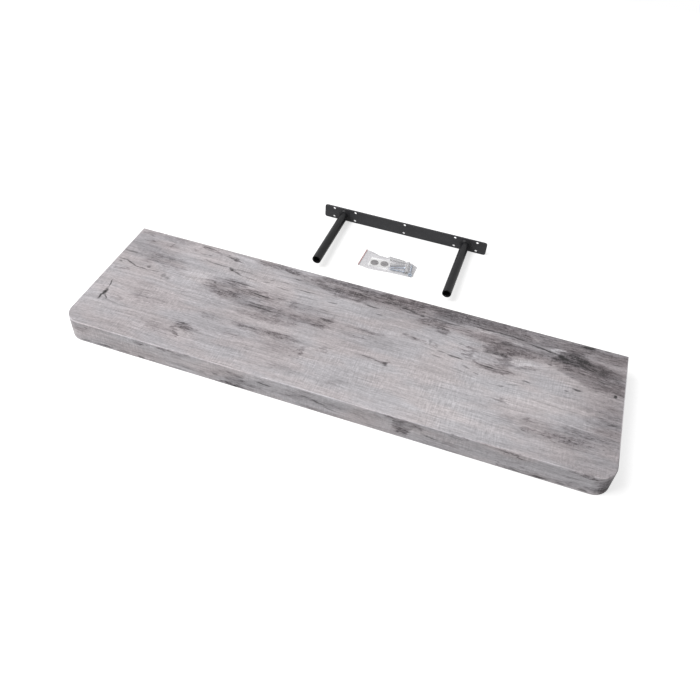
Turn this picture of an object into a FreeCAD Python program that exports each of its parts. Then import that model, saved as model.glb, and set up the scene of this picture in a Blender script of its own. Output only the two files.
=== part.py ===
import FreeCAD, Part
import os
import re
import Sketcher
from FreeCAD import Placement, Rotation, Vector

# A floating wall shelf, laid out with its parts beside it: a hollow-core board, and behind it the steel
# bracket that it slides onto, with a bag of fittings between. Millimetres, +Z up. The origin is the middle of
# the layout on the surface that it lies on, +X runs along the board, and the wall would be on the +Y side.

doc = FreeCAD.newDocument("FloatingWallShelf")
sheet = doc.addObject("Spreadsheet::Sheet", "Sizes")

SIZES = (
    # board
    ("board_length", 800.0),
    ("board_depth", 235.0),
    ("board_height", 38.0),
    ("corner_radius", 25.0),
    ("band_thickness", 1.0),
    ("band_chamfer", 0.5),
    ("foil_thickness", 0.4),
    ("skin_thickness", 3.0),
    # frame inside the board
    ("front_rail_width", 50.0),
    ("rear_rail_width", 50.0),
    ("end_rail_width", 40.0),
    ("stile_width", 50.0),
    # paper honeycomb between the rails
    ("cell_size", 32.0),
    ("cell_wall", 1.0),
    ("core_clearance", 0.5),
    # bracket
    ("plate_length", 300.0),
    ("plate_height", 25.0),
    ("plate_thickness", 3.0),
    ("plate_corner", 4.0),
    ("plate_chamfer", 0.5),
    ("hole_diameter", 5.0),
    ("hole_row_spacing", 17.0),
    ("hole_to_tube", 20.0),
    ("tube_spacing", 225.0),
    ("tube_diameter", 15.0),
    ("tube_wall", 1.5),
    ("tube_length", 146.0),
    ("tube_tilt", 1.8),
    ("tube_chamfer", 0.4),
    ("weld_leg", 3.0),
    # fits between the bracket and the board
    ("bore_clearance", 0.3),
    ("bore_end_gap", 4.0),
    ("seat_clearance", 0.3),
    ("rebate_clearance", 0.8),
    ("weld_clearance", 0.4),
    # locking screws in the underside
    ("lock_inset", 25.0),
    ("lock_recess", 1.0),
    ("lock_diameter", 6.0),
    ("lock_length", 8.0),
    ("lock_socket", 3.0),
    ("lock_socket_depth", 3.5),
    ("lock_cup_diameter", 3.6),
    ("lock_cup_depth", 0.8),
    ("thread_clearance", 0.1),
    ("insert_diameter", 9.0),
    ("insert_length", 7.0),
    ("insert_flange", 1.0),
    ("insert_clearance", 0.1),
    ("access_diameter", 11.0),
    # bag of fittings
    ("bag_setback", 91.0),
    ("bag_shift", -1.0),
    ("bag_turn", -2.4),
    ("bag_length", 96.0),
    ("bag_zip_width", 45.0),
    ("bag_end_width", 33.0),
    ("bag_neck_height", 2.0),
    ("bag_pouch_length", 52.0),
    ("film_thickness", 0.3),
    ("zip_width", 2.0),
    # cover discs on their backing sheet
    ("card_length", 33.0),
    ("card_width", 19.0),
    ("card_thickness", 0.3),
    ("disc_diameter", 13.5),
    ("disc_thickness", 0.6),
    ("disc_spacing", 17.0),
    # wall screws and wall plugs
    ("screw_diameter", 4.0),
    ("screw_length", 28.0),
    ("screw_head_diameter", 7.4),
    ("screw_head_height", 2.4),
    ("screw_head_rim", 0.4),
    ("screw_point_length", 5.0),
    ("screw_tip_diameter", 0.4),
    ("recess_span", 3.6),
    ("recess_width", 0.9),
    ("recess_depth", 1.5),
    ("plug_diameter", 6.0),
    ("plug_length", 25.0),
    ("plug_bore", 2.6),
    ("plug_collar_diameter", 7.0),
    ("plug_collar_height", 0.8),
    ("plug_slot_width", 0.8),
    ("plug_solid_length", 6.0),
    ("plug_barb", 0.5),
    ("lying_clearance", 0.1),
)

for row, (alias, value) in enumerate(SIZES, start=1):
    sheet.set(f"A{row}", alias)
    sheet.set(f"B{row}", str(value))
    sheet.setAlias(f"B{row}", alias)
doc.recompute()

ALIASES = re.compile(r"\b(" + "|".join(alias for alias, _ in SIZES) + r")\b")

# Places that several pieces share, as expressions over the sheet. The tubes rise by tube_tilt towards their
# tips, and the bracket travels along them: standing on the surface at the start, and in the middle of the
# board's edge at the end. So the height that it gains sets how far back it starts.
TRAVEL_Y = "((board_height - plate_height) / 2 / tan(tube_tilt))"
BOARD_REAR = f"((board_depth - {TRAVEL_Y}) / 2)"
PLATE_FRONT = f"({BOARD_REAR} + {TRAVEL_Y} - plate_thickness)"
SEATED_FRONT = f"({BOARD_REAR} - plate_thickness)"
REBATE_FLOOR = f"({SEATED_FRONT} - seat_clearance)"
CORE_HEIGHT = "(board_height - 2 * (foil_thickness + skin_thickness))"
CORE_BOTTOM = "(foil_thickness + skin_thickness)"
BAY_REAR = f"({BOARD_REAR} - rear_rail_width)"
BAY_DEPTH = "(board_depth - band_thickness - front_rail_width - rear_rail_width)"
END_RAIL_INSIDE = "(board_length / 2 - band_thickness - end_rail_width)"
STILE_INSIDE = "((tube_spacing - stile_width) / 2)"
STILE_OUTSIDE = "((tube_spacing + stile_width) / 2)"
BORE_RADIUS = "(tube_diameter / 2 + bore_clearance)"
LOCK_Y = f"({BOARD_REAR} - lock_inset)"
WIDEST_FITTING = "max(screw_head_diameter; plug_collar_diameter)"
BAG_HEIGHT = f"(2 * film_thickness + 2 * lying_clearance + {WIDEST_FITTING})"

SIDES = (("left", -1), ("right", 1))

# How many flat sides a form has that narrows towards its end.
PLUG_SIDES = 8
SCREW_SIDES = 12
WELD_SIDES = 24

# Where things lie in the bag: the middle of the card from the zip, and each screw's head and each plug's
# collar from the closed end, then their place across the bag, and their turn from its length in degrees.
CARD_PLACE = (33.0, -3.5, 12.5)
SCREW_PLACES = ((17.6, -1.6, 201.0), (15.5, -11.5, 187.5), (4.5, -15.2, 100.5))
PLUG_PLACES = ((11.3, -11.5, 100.5), (49.0, 12.6, 0.0), (43.8, -4.4, 26.0))


def cells(expression):
    """The expression with every alias pointed at the sheet."""
    return ALIASES.sub(r"Sizes.\1", expression)


def number(expression):
    """The value of an expression over the sheet."""
    return float(sheet.evalExpression(cells(expression)))


def bind(item, expressions):
    for path, expression in expressions.items():
        item.setExpression(path, cells(expression))


def place(item, x="0", y="0", z="0"):
    bind(item, {"Placement.Base.x": x, "Placement.Base.y": y, "Placement.Base.z": z})
    return item


def turn(item, axis, degrees):
    """Turns an item about an axis through its own origin, by an expression in degrees."""
    item.Placement = Placement(item.Placement.Base, Rotation(axis, 90))
    bind(item, {"Placement.Rotation.Angle": degrees})
    return item


# --- Part primitives and booleans


def block(name, length, width, height, x, y, z):
    item = doc.addObject("Part::Box", name)
    bind(item, {"Length": length, "Width": width, "Height": height})
    return place(item, x, y, z)


def rod(name, radius, length, x, y, z):
    item = doc.addObject("Part::Cylinder", name)
    bind(item, {"Radius": radius, "Height": length})
    return place(item, x, y, z)


def tapered_block(name, x_start, x_end, start_width, end_width, z_bottom, start_top, end_top):
    """A block along X whose width and height change evenly from its start to its end, centred on Y = 0."""
    item = doc.addObject("Part::Wedge", name)
    # the wedge tapers along its own Y, so a quarter turn about Z lays it along X
    bind(
        item,
        {
            "Ymin": x_start, "Ymax": x_end,
            "Xmin": f"-{start_width} / 2", "Xmax": f"{start_width} / 2",
            "X2min": f"-{end_width} / 2", "X2max": f"{end_width} / 2",
            "Zmin": z_bottom, "Z2min": z_bottom, "Zmax": start_top, "Z2max": end_top,
        },
    )
    item.Placement = Placement(Vector(0, 0, 0), Rotation(Vector(0, 0, 1), -90))
    return item


def fuse(name, *items):
    item = doc.addObject("Part::MultiFuse", name)
    item.Shapes = list(items)
    return item


def cut(name, base, *tools):
    item = doc.addObject("Part::Cut", name)
    item.Base = base
    item.Tool = tools[0] if len(tools) == 1 else fuse(f"{name}_tools", *tools)
    return item


# --- PartDesign bodies and sketches


def origin_feature(body, role):
    return next(item for item in body.Origin.OriginFeatures if item.Role == role)


def new_sketch(body, name, plane, offset="0"):
    sketch = body.newObject("Sketcher::SketchObject", name)
    sketch.AttachmentSupport = [(origin_feature(body, plane), "")]
    sketch.MapMode = "FlatFace"
    bind(sketch, {"AttachmentOffset.Base.z": offset})
    return sketch


def fix_point(sketch, geometry, point, x, y):
    """Dimensions a point from the sketch's origin, or sets it on an axis where the expression is 0."""
    for kind, expression, axis in (("DistanceX", x, -2), ("DistanceY", y, -1)):
        if expression == "0":
            sketch.addConstraint(Sketcher.Constraint("PointOnObject", geometry, point, axis))
        else:
            index = sketch.addConstraint(
                Sketcher.Constraint(kind, -1, 1, geometry, point, number(expression))
            )
            sketch.setExpression(f"Constraints[{index}]", cells(expression))


def add_polygon(sketch, points):
    """A closed run of lines through points given as pairs of expressions."""
    corners = [Vector(number(x), number(y), 0) for x, y in points]
    first = sketch.GeometryCount
    count = len(corners)
    for k in range(count):
        sketch.addGeometry(Part.LineSegment(corners[k], corners[(k + 1) % count]), False)
    for k in range(count):
        following = first + (k + 1) % count
        sketch.addConstraint(Sketcher.Constraint("Coincident", first + k, 2, following, 1))
    for k, (x, y) in enumerate(points):
        fix_point(sketch, first + k, 1, x, y)


def add_circle(sketch, x, y, radius):
    middle = Vector(number(x), number(y), 0)
    circle = sketch.addGeometry(Part.Circle(middle, Vector(0, 0, 1), number(radius)), False)
    fix_point(sketch, circle, 3, x, y)
    index = sketch.addConstraint(Sketcher.Constraint("Radius", circle, number(radius)))
    sketch.setExpression(f"Constraints[{index}]", cells(radius))


def add_rounded_outline(sketch, left, right, front, rear, radius, rounded_rear):
    """A rectangle whose front corners, and its rear ones where asked, are arcs tangent to its sides."""
    x0, x1, y0, y1, r = (number(text) for text in (left, right, front, rear, radius))
    quarter = FreeCAD.Units.parseQuantity("90 deg").getValueAs("rad").Value
    up = Vector(0, 0, 1)
    # each corner: the arc's centre and the angle where the arc starts, going round anticlockwise
    corners = [(x1 - r, y1 - r, 0), (x0 + r, y1 - r, 1), (x0 + r, y0 + r, 2), (x1 - r, y0 + r, 3)]
    rear_inset = r if rounded_rear else 0
    lines = [
        ((x1 - rear_inset, y1), (x0 + rear_inset, y1)),
        ((x0, y1 - rear_inset), (x0, y0 + r)),
        ((x0 + r, y0), (x1 - r, y0)),
        ((x1, y0 + r), (x1, y1 - rear_inset)),
    ]
    for start, end in lines:
        sketch.addGeometry(Part.LineSegment(Vector(*start, 0), Vector(*end, 0)), False)
    for k, (centre_x, centre_y, turns) in enumerate(corners):
        before, after = (k - 1) % 4, k
        if k < 2 and not rounded_rear:
            sketch.addConstraint(Sketcher.Constraint("Coincident", before, 2, after, 1))
            continue
        ring = Part.Circle(Vector(centre_x, centre_y, 0), up, r)
        arc = sketch.addGeometry(
            Part.ArcOfCircle(ring, turns * quarter, (turns + 1) * quarter), False
        )
        sketch.addConstraint(Sketcher.Constraint("Tangent", before, 2, arc, 1))
        sketch.addConstraint(Sketcher.Constraint("Tangent", arc, 2, after, 1))
        index = sketch.addConstraint(Sketcher.Constraint("Radius", arc, r))
        sketch.setExpression(f"Constraints[{index}]", cells(radius))
    for line, kind in ((0, "Horizontal"), (1, "Vertical"), (2, "Horizontal"), (3, "Vertical")):
        sketch.addConstraint(Sketcher.Constraint(kind, line))
    for kind, line, expression in (
        ("DistanceY", 0, rear), ("DistanceX", 1, left), ("DistanceY", 2, front), ("DistanceX", 3, right)
    ):
        if expression == "0":
            sketch.addConstraint(Sketcher.Constraint("PointOnObject", line, 1, -1))
            continue
        index = sketch.addConstraint(Sketcher.Constraint(kind, -1, 1, line, 1, number(expression)))
        sketch.setExpression(f"Constraints[{index}]", cells(expression))


def pad(body, name, sketch, length):
    feature = body.newObject("PartDesign::Pad", name)
    feature.Profile = sketch
    bind(feature, {"Length": length})
    doc.recompute()
    return feature


def pierce(body, name, sketch):
    """Cuts a sketch right through the body, and makes sure that it removed material."""
    volume_before = body.Tip.Shape.Volume
    feature = body.newObject("PartDesign::Pocket", name)
    feature.Profile = sketch
    feature.Type = "ThroughAll"
    feature.Reversed = True
    doc.recompute()
    if feature.Shape.Volume >= volume_before:
        raise RuntimeError(f"{body.Label}: {name} cuts nothing")
    return feature


def revolved_body(name, profile):
    """A body turned about its own Z, from a profile of radius and height pairs."""
    body = doc.addObject("PartDesign::Body", name)
    sketch = new_sketch(body, f"{name}_profile", "XZ_Plane")
    add_polygon(sketch, profile)
    feature = body.newObject("PartDesign::Revolution", f"{name}_turned")
    feature.Profile = sketch
    feature.ReferenceAxis = (sketch, ["V_Axis"])
    feature.Angle = 360
    doc.recompute()
    return body


def prism(name, sides, radius, bottom, top, inwards=None, length=None):
    """An upright many-sided body, narrowed towards its top where a radial size and a length are given."""
    body = doc.addObject("PartDesign::Body", name)
    stock = body.newObject("PartDesign::AdditivePrism", f"{name}_stock")
    stock.Polygon = sides
    bind(stock, {"Circumradius": radius, "Height": f"{top} - ({bottom})", "Placement.Base.z": bottom})
    doc.recompute()
    if inwards is None:
        return body
    level = number(top)
    rims = [
        f"Edge{k}"
        for k, edge in enumerate(stock.Shape.Edges, start=1)
        if edge.BoundBox.ZMin > level - 0.001
    ]
    slope = body.newObject("PartDesign::Chamfer", f"{name}_slope")
    slope.Base = (stock, rims)
    slope.ChamferType = "Two distances"
    bind(slope, {"Size": length, "Size2": inwards})
    doc.recompute()
    return body


# --- Board: decor foils and edge band outside, fibreboard skins and rails inside, honeycomb in the bays


def board_outline(body, name, inset, front, rear):
    """The board's plan, measured from its rear face, drawn inset from its sides."""
    sketch = new_sketch(body, name, "XY_Plane")
    add_rounded_outline(
        sketch,
        f"-board_length / 2 + {inset}", f"board_length / 2 - {inset}",
        front, rear, f"corner_radius - {inset}", rounded_rear=False,
    )
    return sketch


def board_layer(name, bottom, thickness, front="-board_depth + band_thickness", rear="0"):
    """A flat layer that fills the edge band, or a strip of it from front to rear."""
    body = doc.addObject("PartDesign::Body", name)
    pad(body, f"{name}_pad", board_outline(body, f"{name}_outline", "band_thickness", front, rear), thickness)
    return place(body, y=BOARD_REAR, z=bottom)


def pierce_for_locks(body):
    """Opens a layer of the underside below each locking screw."""
    sketch = new_sketch(body, f"{body.Name}_holes", "XY_Plane")
    for _, side in SIDES:
        add_circle(sketch, f"{side} * tube_spacing / 2", "-lock_inset", "access_diameter / 2")
    pierce(body, f"{body.Name}_access", sketch)
    return body


def edge_band():
    """The band round both ends and the front, with its outer edges trimmed by a small chamfer."""
    body = doc.addObject("PartDesign::Body", "edge_band")
    outline = board_outline(body, "band_outside", "0", "-board_depth", "0")
    outside = pad(body, "band_pad", outline, "board_height")
    height = number("board_height")
    rims = [
        f"Edge{k}"
        for k, edge in enumerate(outside.Shape.Edges, start=1)
        if edge.BoundBox.ZLength < 0.001
        and min(edge.BoundBox.ZMin, height - edge.BoundBox.ZMax) < 0.001
        and edge.CenterOfMass.y < -0.001
    ]
    chamfer = body.newObject("PartDesign::Chamfer", "band_trim")
    chamfer.Base = (outside, rims)
    bind(chamfer, {"Size": "band_chamfer"})
    doc.recompute()
    inside = board_outline(
        body, "band_inside", "band_thickness", "-board_depth + band_thickness", "corner_radius"
    )
    pierce(body, "band_hollow", inside)
    return place(body, y=BOARD_REAR)


def along_tube(item, x, back_off, y_front, z_middle):
    """Lays an upright primitive along a tube's axis, starting back_off behind the plate's front face."""
    turn(item, Vector(1, 0, 0), "90 - tube_tilt")
    y = f"{y_front} + {back_off} * cos(tube_tilt)"
    z = f"{z_middle} - {back_off} * sin(tube_tilt)"
    return place(item, x, y, z)


def tube_bore(name, x):
    """The hole that a tube fills once the bracket is home, open through the board's rear face."""
    overshoot = "(2 * plate_thickness)"
    bore = rod(name, BORE_RADIUS, f"tube_length + bore_end_gap + {overshoot}", "0", "0", "0")
    return along_tube(bore, x, overshoot, SEATED_FRONT, "board_height / 2")


def weld_flare(name, x, margin, y_front, z_middle):
    """The flare of a tube's fillet weld, or the one that clears it by a margin, starting inside the plate."""
    back_off = "plate_thickness / 2"
    leg = f"(weld_leg + {back_off} + {margin} * sqrt(2))"
    flare = prism(name, WELD_SIDES, f"tube_diameter / 2 + {leg}", f"-{back_off} / 2", leg, leg, leg)
    return along_tube(flare, x, back_off, y_front, z_middle)


def rear_rail(bores):
    """The rail that carries the load, with the tubes' bores, the plate's rebate and the locks' holes."""
    stock = block(
        "rear_rail_stock", "board_length - 2 * band_thickness", "rear_rail_width", CORE_HEIGHT,
        "-board_length / 2 + band_thickness", BAY_REAR, CORE_BOTTOM,
    )
    rebate = block(
        "plate_rebate", "plate_length + 2 * rebate_clearance",
        f"{BOARD_REAR} - {REBATE_FLOOR} + plate_thickness", "plate_height + 2 * rebate_clearance",
        "-plate_length / 2 - rebate_clearance", REBATE_FLOOR,
        "(board_height - plate_height) / 2 - rebate_clearance",
    )
    tools = [rebate] + bores
    for label, side in SIDES:
        x = f"{side} * tube_spacing / 2"
        relief = weld_flare(f"weld_relief_{label}", x, "weld_clearance", SEATED_FRONT, "board_height / 2")
        tools.append(relief)
        insert_radius = "insert_diameter / 2 + insert_clearance"
        tools.append(rod(f"insert_hole_{label}", insert_radius, "insert_length", x, LOCK_Y, CORE_BOTTOM))
        passage_radius = "lock_diameter / 2 + 2 * thread_clearance"
        tools.append(rod(f"lock_passage_{label}", passage_radius, "board_height / 2", x, LOCK_Y, "0"))
    return cut("rear_rail", stock, *tools)


def end_rail(label, side):
    x = "-board_length / 2 + band_thickness" if side < 0 else END_RAIL_INSIDE
    return block(
        f"{label}_end_rail", "end_rail_width", BAY_DEPTH, CORE_HEIGHT,
        x, f"{BAY_REAR} - {BAY_DEPTH}", CORE_BOTTOM,
    )


def tube_block(label, side, bore):
    """The stile between the rails that takes the rest of a tube."""
    stock = block(
        f"tube_block_{label}_stock", "stile_width", BAY_DEPTH, CORE_HEIGHT,
        f"{side} * tube_spacing / 2 - stile_width / 2", f"{BAY_REAR} - {BAY_DEPTH}", CORE_BOTTOM,
    )
    return cut(f"tube_block_{label}", stock, bore)


def honeycomb(name, left, right):
    """A slab of paper honeycomb that fills a bay: one pair of hexagonal cells, repeated both ways."""
    body = doc.addObject("PartDesign::Body", name)
    half_length = f"(({right} - {left}) / 2 - core_clearance)"
    half_depth = f"({BAY_DEPTH} / 2 - core_clearance)"
    outline = new_sketch(body, f"{name}_outline", "XY_Plane")
    add_polygon(
        outline,
        [
            (f"-{half_length}", f"-{half_depth}"), (half_length, f"-{half_depth}"),
            (half_length, half_depth), (f"-{half_length}", half_depth),
        ],
    )
    pad(body, f"{name}_slab", outline, CORE_HEIGHT)
    pitch = "(cell_size + cell_wall)"
    row_pitch = f"({pitch} * sqrt(3))"
    across = int(number(f"{half_length} / {pitch}")) + 1
    along = int(number(f"{half_depth} / {row_pitch}")) + 1
    cell = new_sketch(body, f"{name}_cells", "XY_Plane")
    start_x, start_y = f"(-{across} * {pitch})", f"(-{along} * {row_pitch})"
    half, reach = "(cell_size / 2)", "(cell_size / sqrt(3))"
    for shift_x, shift_y in (("0", "0"), (f"{pitch} / 2", f"{row_pitch} / 2")):
        x, y = f"({start_x} + {shift_x})", f"({start_y} + {shift_y})"
        add_polygon(
            cell,
            [
                (f"{x} - {half}", f"{y} - {reach} / 2"), (x, f"{y} - {reach}"),
                (f"{x} + {half}", f"{y} - {reach} / 2"), (f"{x} + {half}", f"{y} + {reach} / 2"),
                (x, f"{y} + {reach}"), (f"{x} - {half}", f"{y} + {reach} / 2"),
            ],
        )
    first = body.newObject("PartDesign::Pocket", f"{name}_first_cells")
    first.Profile = cell
    first.Type = "ThroughAll"
    first.Reversed = True
    pattern = body.newObject("PartDesign::LinearPattern", f"{name}_comb")
    pattern.Originals = [first]
    pattern.Direction = (origin_feature(body, "X_Axis"), [""])
    pattern.Mode = "Spacing"
    pattern.Occurrences = 2 * across + 1
    pattern.Direction2 = (origin_feature(body, "Y_Axis"), [""])
    pattern.Mode2 = "Spacing"
    pattern.Occurrences2 = 2 * along + 1
    bind(pattern, {"Offset": pitch, "Offset2": row_pitch})
    body.Tip = pattern
    return place(body, f"({left} + {right}) / 2", f"{BAY_REAR} - {BAY_DEPTH} / 2", CORE_BOTTOM)


def locking_screw(label, side):
    """A grub screw with a hexagon socket in its lower end and a hollow point on its upper one."""
    x = f"{side} * tube_spacing / 2"
    shank = rod(f"lock_shank_{label}", "lock_diameter / 2", "lock_length", x, LOCK_Y, "lock_recess")
    socket = doc.addObject("Part::Prism", f"lock_socket_{label}")
    socket.Polygon = 6
    bind(socket, {"Circumradius": "lock_socket / sqrt(3)", "Height": "lock_socket_depth"})
    place(socket, x, LOCK_Y, "lock_recess")
    cup = rod(
        f"lock_cup_{label}", "lock_cup_diameter / 2", "lock_cup_depth", x, LOCK_Y,
        "lock_recess + lock_length - lock_cup_depth",
    )
    return cut(f"locking_screw_{label}", shank, socket, cup)


def insert_nut(label, side):
    """A flanged insert pressed into the rear rail from below, with the locking screw's thread inside."""
    inside, outside = "lock_diameter / 2 + thread_clearance", "insert_diameter / 2"
    flange = "access_diameter / 2 - insert_clearance"
    profile = [
        (inside, "0"), (flange, "0"), (flange, "insert_flange"), (outside, "insert_flange"),
        (outside, "insert_flange + insert_length"), (inside, "insert_flange + insert_length"),
    ]
    body = revolved_body(f"insert_nut_{label}", profile)
    return place(body, f"{side} * tube_spacing / 2", LOCK_Y, f"{CORE_BOTTOM} - insert_flange")


# --- Bracket: flat plate, two hollow tubes and the fillet welds that join them


def wall_plate():
    """The flat bar that is screwed to the wall, with five pairs of holes."""
    body = doc.addObject("PartDesign::Body", "wall_plate")
    outline = new_sketch(body, "plate_outline", "XZ_Plane")
    add_rounded_outline(
        outline, "-plate_length / 2", "plate_length / 2", "-plate_height / 2", "plate_height / 2",
        "plate_corner", rounded_rear=True,
    )
    bar = pad(body, "plate_bar", outline, "plate_thickness")
    rims = [
        f"Edge{k}"
        for k, edge in enumerate(bar.Shape.Edges, start=1)
        if edge.BoundBox.YLength < 0.001
    ]
    chamfer = body.newObject("PartDesign::Chamfer", "plate_trim")
    chamfer.Base = (bar, rims)
    bind(chamfer, {"Size": "plate_chamfer"})
    doc.recompute()
    holes = new_sketch(body, "plate_holes", "XZ_Plane")
    columns = ["0"]
    for _, side in SIDES:
        for away in ("-", "+"):
            columns.append(f"{side} * (tube_spacing / 2 {away} hole_to_tube)")
    for column in columns:
        for height in ("-hole_row_spacing / 2", "hole_row_spacing / 2"):
            add_circle(holes, column, height, "hole_diameter / 2")
    pierce(body, "plate_drilling", holes)
    return place(body, y=f"{PLATE_FRONT} + plate_thickness", z="plate_height / 2")


def support_tube(label, side, plate_side):
    """A hollow tube welded to the plate, cut to the plate's face at its root and deburred at its tip."""
    length = "tube_length + plate_thickness / 2"
    inside, outside = "tube_diameter / 2 - tube_wall", "tube_diameter / 2"
    body = revolved_body(
        f"tube_{label}_stock",
        [
            (inside, "0"), (outside, "0"), (outside, f"{length} - tube_chamfer"),
            (f"{outside} - tube_chamfer", length), (inside, length),
        ],
    )
    along_tube(body, f"{side} * tube_spacing / 2", "plate_thickness / 2", PLATE_FRONT, "plate_height / 2")
    return cut(f"support_tube_{label}", body, plate_side)


def weld_bead(label, side, plate_side):
    """The fillet weld round the root of a tube."""
    x = f"{side} * tube_spacing / 2"
    bead = weld_flare(f"weld_{label}_stock", x, "0", PLATE_FRONT, "plate_height / 2")
    tube = rod(f"weld_{label}_tube", "tube_diameter / 2", "tube_length", "0", "0", "0")
    along_tube(tube, x, "plate_thickness", PLATE_FRONT, "plate_height / 2")
    return cut(f"weld_bead_{label}", bead, tube, plate_side)


# --- Bag of fittings, in its own frame: along X from the zip to the closed end, centred on Y


def in_bag(item):
    """Sets a piece made in the bag's frame down where the bag lies."""
    turn(item, Vector(0, 0, 1), "bag_turn")
    return place(item, "bag_shift", f"{PLATE_FRONT} - bag_setback")


def bag_envelope(name, inset, bottom):
    """The bag's form: a neck that rises from the zip to the fittings, then level to the end, drawn inset."""
    start, end = "-bag_length / 2 + zip_width", "bag_length / 2"
    middle = f"({end} - bag_pouch_length)"
    share = "(bag_pouch_length / bag_length)"
    middle_width = f"(bag_end_width + (bag_zip_width - bag_end_width) * {share} - 2 * {inset})"
    neck = tapered_block(
        f"{name}_neck", f"{start} + {inset}", middle, f"(bag_zip_width - 2 * {inset})", middle_width,
        bottom, f"bag_neck_height - {inset}", f"{BAG_HEIGHT} - {inset}",
    )
    pouch = tapered_block(
        f"{name}_pouch", middle, f"{end} - {inset}", middle_width, f"(bag_end_width - 2 * {inset})",
        bottom, f"{BAG_HEIGHT} - {inset}", f"{BAG_HEIGHT} - {inset}",
    )
    return fuse(name, neck, pouch)


def bag_upper_film():
    outside = bag_envelope("film_outside", "0", "film_thickness")
    inside = bag_envelope("film_inside", "film_thickness", "0")
    return in_bag(cut("bag_upper_film", outside, inside))


def bag_lower_film():
    film = tapered_block(
        "bag_lower_film", "-bag_length / 2", "bag_length / 2", "bag_zip_width", "bag_end_width",
        "0", "film_thickness", "film_thickness",
    )
    # a quarter turn lays the wedge along X, and the bag's own turn is added to it
    bind(film, {"Placement.Rotation.Angle": "bag_turn - 90"})
    return place(film, "bag_shift", f"{PLATE_FRONT} - bag_setback")


def bag_zip():
    zip_strip = block(
        "zip_strip", "zip_width", "bag_zip_width", "bag_neck_height - film_thickness",
        "-bag_length / 2", "-bag_zip_width / 2", "film_thickness",
    )
    pack = doc.addObject("Part::Compound", "bag_zip")
    pack.Links = [zip_strip]
    return in_bag(pack)


def on_card(pieces, name):
    """Gathers pieces made in the card's frame into one node, and lays them on the card's place in the bag."""
    turned = doc.addObject("Part::Compound", f"{name}_on_card")
    turned.Links = pieces
    from_zip, across, degrees = CARD_PLACE
    turned.Placement = Placement(Vector(0, across, 0), Rotation(Vector(0, 0, 1), degrees))
    bind(turned, {"Placement.Base.x": f"{from_zip} - bag_length / 2"})
    pack = doc.addObject("Part::Compound", name)
    pack.Links = [turned]
    return in_bag(pack)


def cover_disc_sheet():
    card = block(
        "card", "card_length", "card_width", "card_thickness",
        "-card_length / 2", "-card_width / 2", "film_thickness",
    )
    return on_card([card], "cover_disc_sheet")


def cover_discs():
    discs = [
        rod(
            f"disc_{label}", "disc_diameter / 2", "disc_thickness", f"{side} * disc_spacing / 2", "0",
            "film_thickness + card_thickness",
        )
        for label, side in SIDES
    ]
    return on_card(discs, "cover_discs")


def wall_screw():
    """A countersunk screw along its own Z, head at the origin, with a cross recess."""
    shank, head_radius = "screw_diameter / 2", "screw_head_diameter / 2"
    sunk = f"{head_radius} - {shank}", "screw_head_height - screw_head_rim"
    pointed = f"{shank} - screw_tip_diameter / 2", "screw_point_length"
    head = prism("screw_head", SCREW_SIDES, head_radius, "0", "screw_head_height", *sunk)
    stem = prism("screw_stem", SCREW_SIDES, shank, "0", "screw_length", *pointed)
    arm, half, depth = "recess_span / 2", "recess_width / 2", "recess_depth"
    slots = [
        block("recess_across", "recess_span", "recess_width", depth, f"-{arm}", f"-{half}", "0"),
        block("recess_along", "recess_width", "recess_span", depth, f"-{half}", f"-{arm}", "0"),
    ]
    return cut("wall_screw", fuse("screw_blank", head, stem), *slots)


def wall_plug():
    """An eight-sided wall plug along its own Z, collar at the origin, barbed and split from its tip."""
    outside, start, collar = "plug_diameter / 2", "plug_solid_length", "plug_collar_diameter / 2"
    pieces = [
        prism("plug_collar", PLUG_SIDES, collar, "0", "plug_collar_height"),
        prism("plug_neck", PLUG_SIDES, outside, "0", start),
    ]
    barbs = 3
    length = f"((plug_length - {start}) / {barbs})"
    for barb in range(barbs):
        bottom, top = f"{start} + {barb} * {length}", f"{start} + {barb + 1} * {length}"
        narrowed = "plug_barb", f"{length} - plug_barb"
        pieces.append(prism(f"plug_barb_{barb}", PLUG_SIDES, outside, bottom, top, *narrowed))
    bore = rod("plug_hole", "plug_bore / 2", "plug_length", "0", "0", "0")
    split = block(
        "plug_split", "2 * plug_diameter", "plug_slot_width", "plug_length",
        "-plug_diameter", "-plug_slot_width / 2", start,
    )
    return cut("wall_plug", fuse("plug_blank", *pieces), bore, split)


def scattered(name, piece, places, widest):
    """One node of loose fasteners: a link to the piece for each place, lying down on its widest part."""
    links = []
    for k, (from_end, across, degrees) in enumerate(places, start=1):
        link = doc.addObject("App::Link", f"{piece.Name}_{k}")
        link.LinkedObject = piece
        lie_down = Rotation(Vector(0, 1, 0), 90)
        link.Placement = Placement(Vector(0, across, 0), Rotation(Vector(0, 0, 1), degrees) * lie_down)
        bind(
            link,
            {
                "Placement.Base.x": f"bag_length / 2 - {from_end}",
                "Placement.Base.z": f"film_thickness + lying_clearance + {widest} / 2",
            },
        )
        links.append(link)
    pack = doc.addObject("Part::Compound", name)
    pack.Links = links
    return in_bag(pack)


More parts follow.
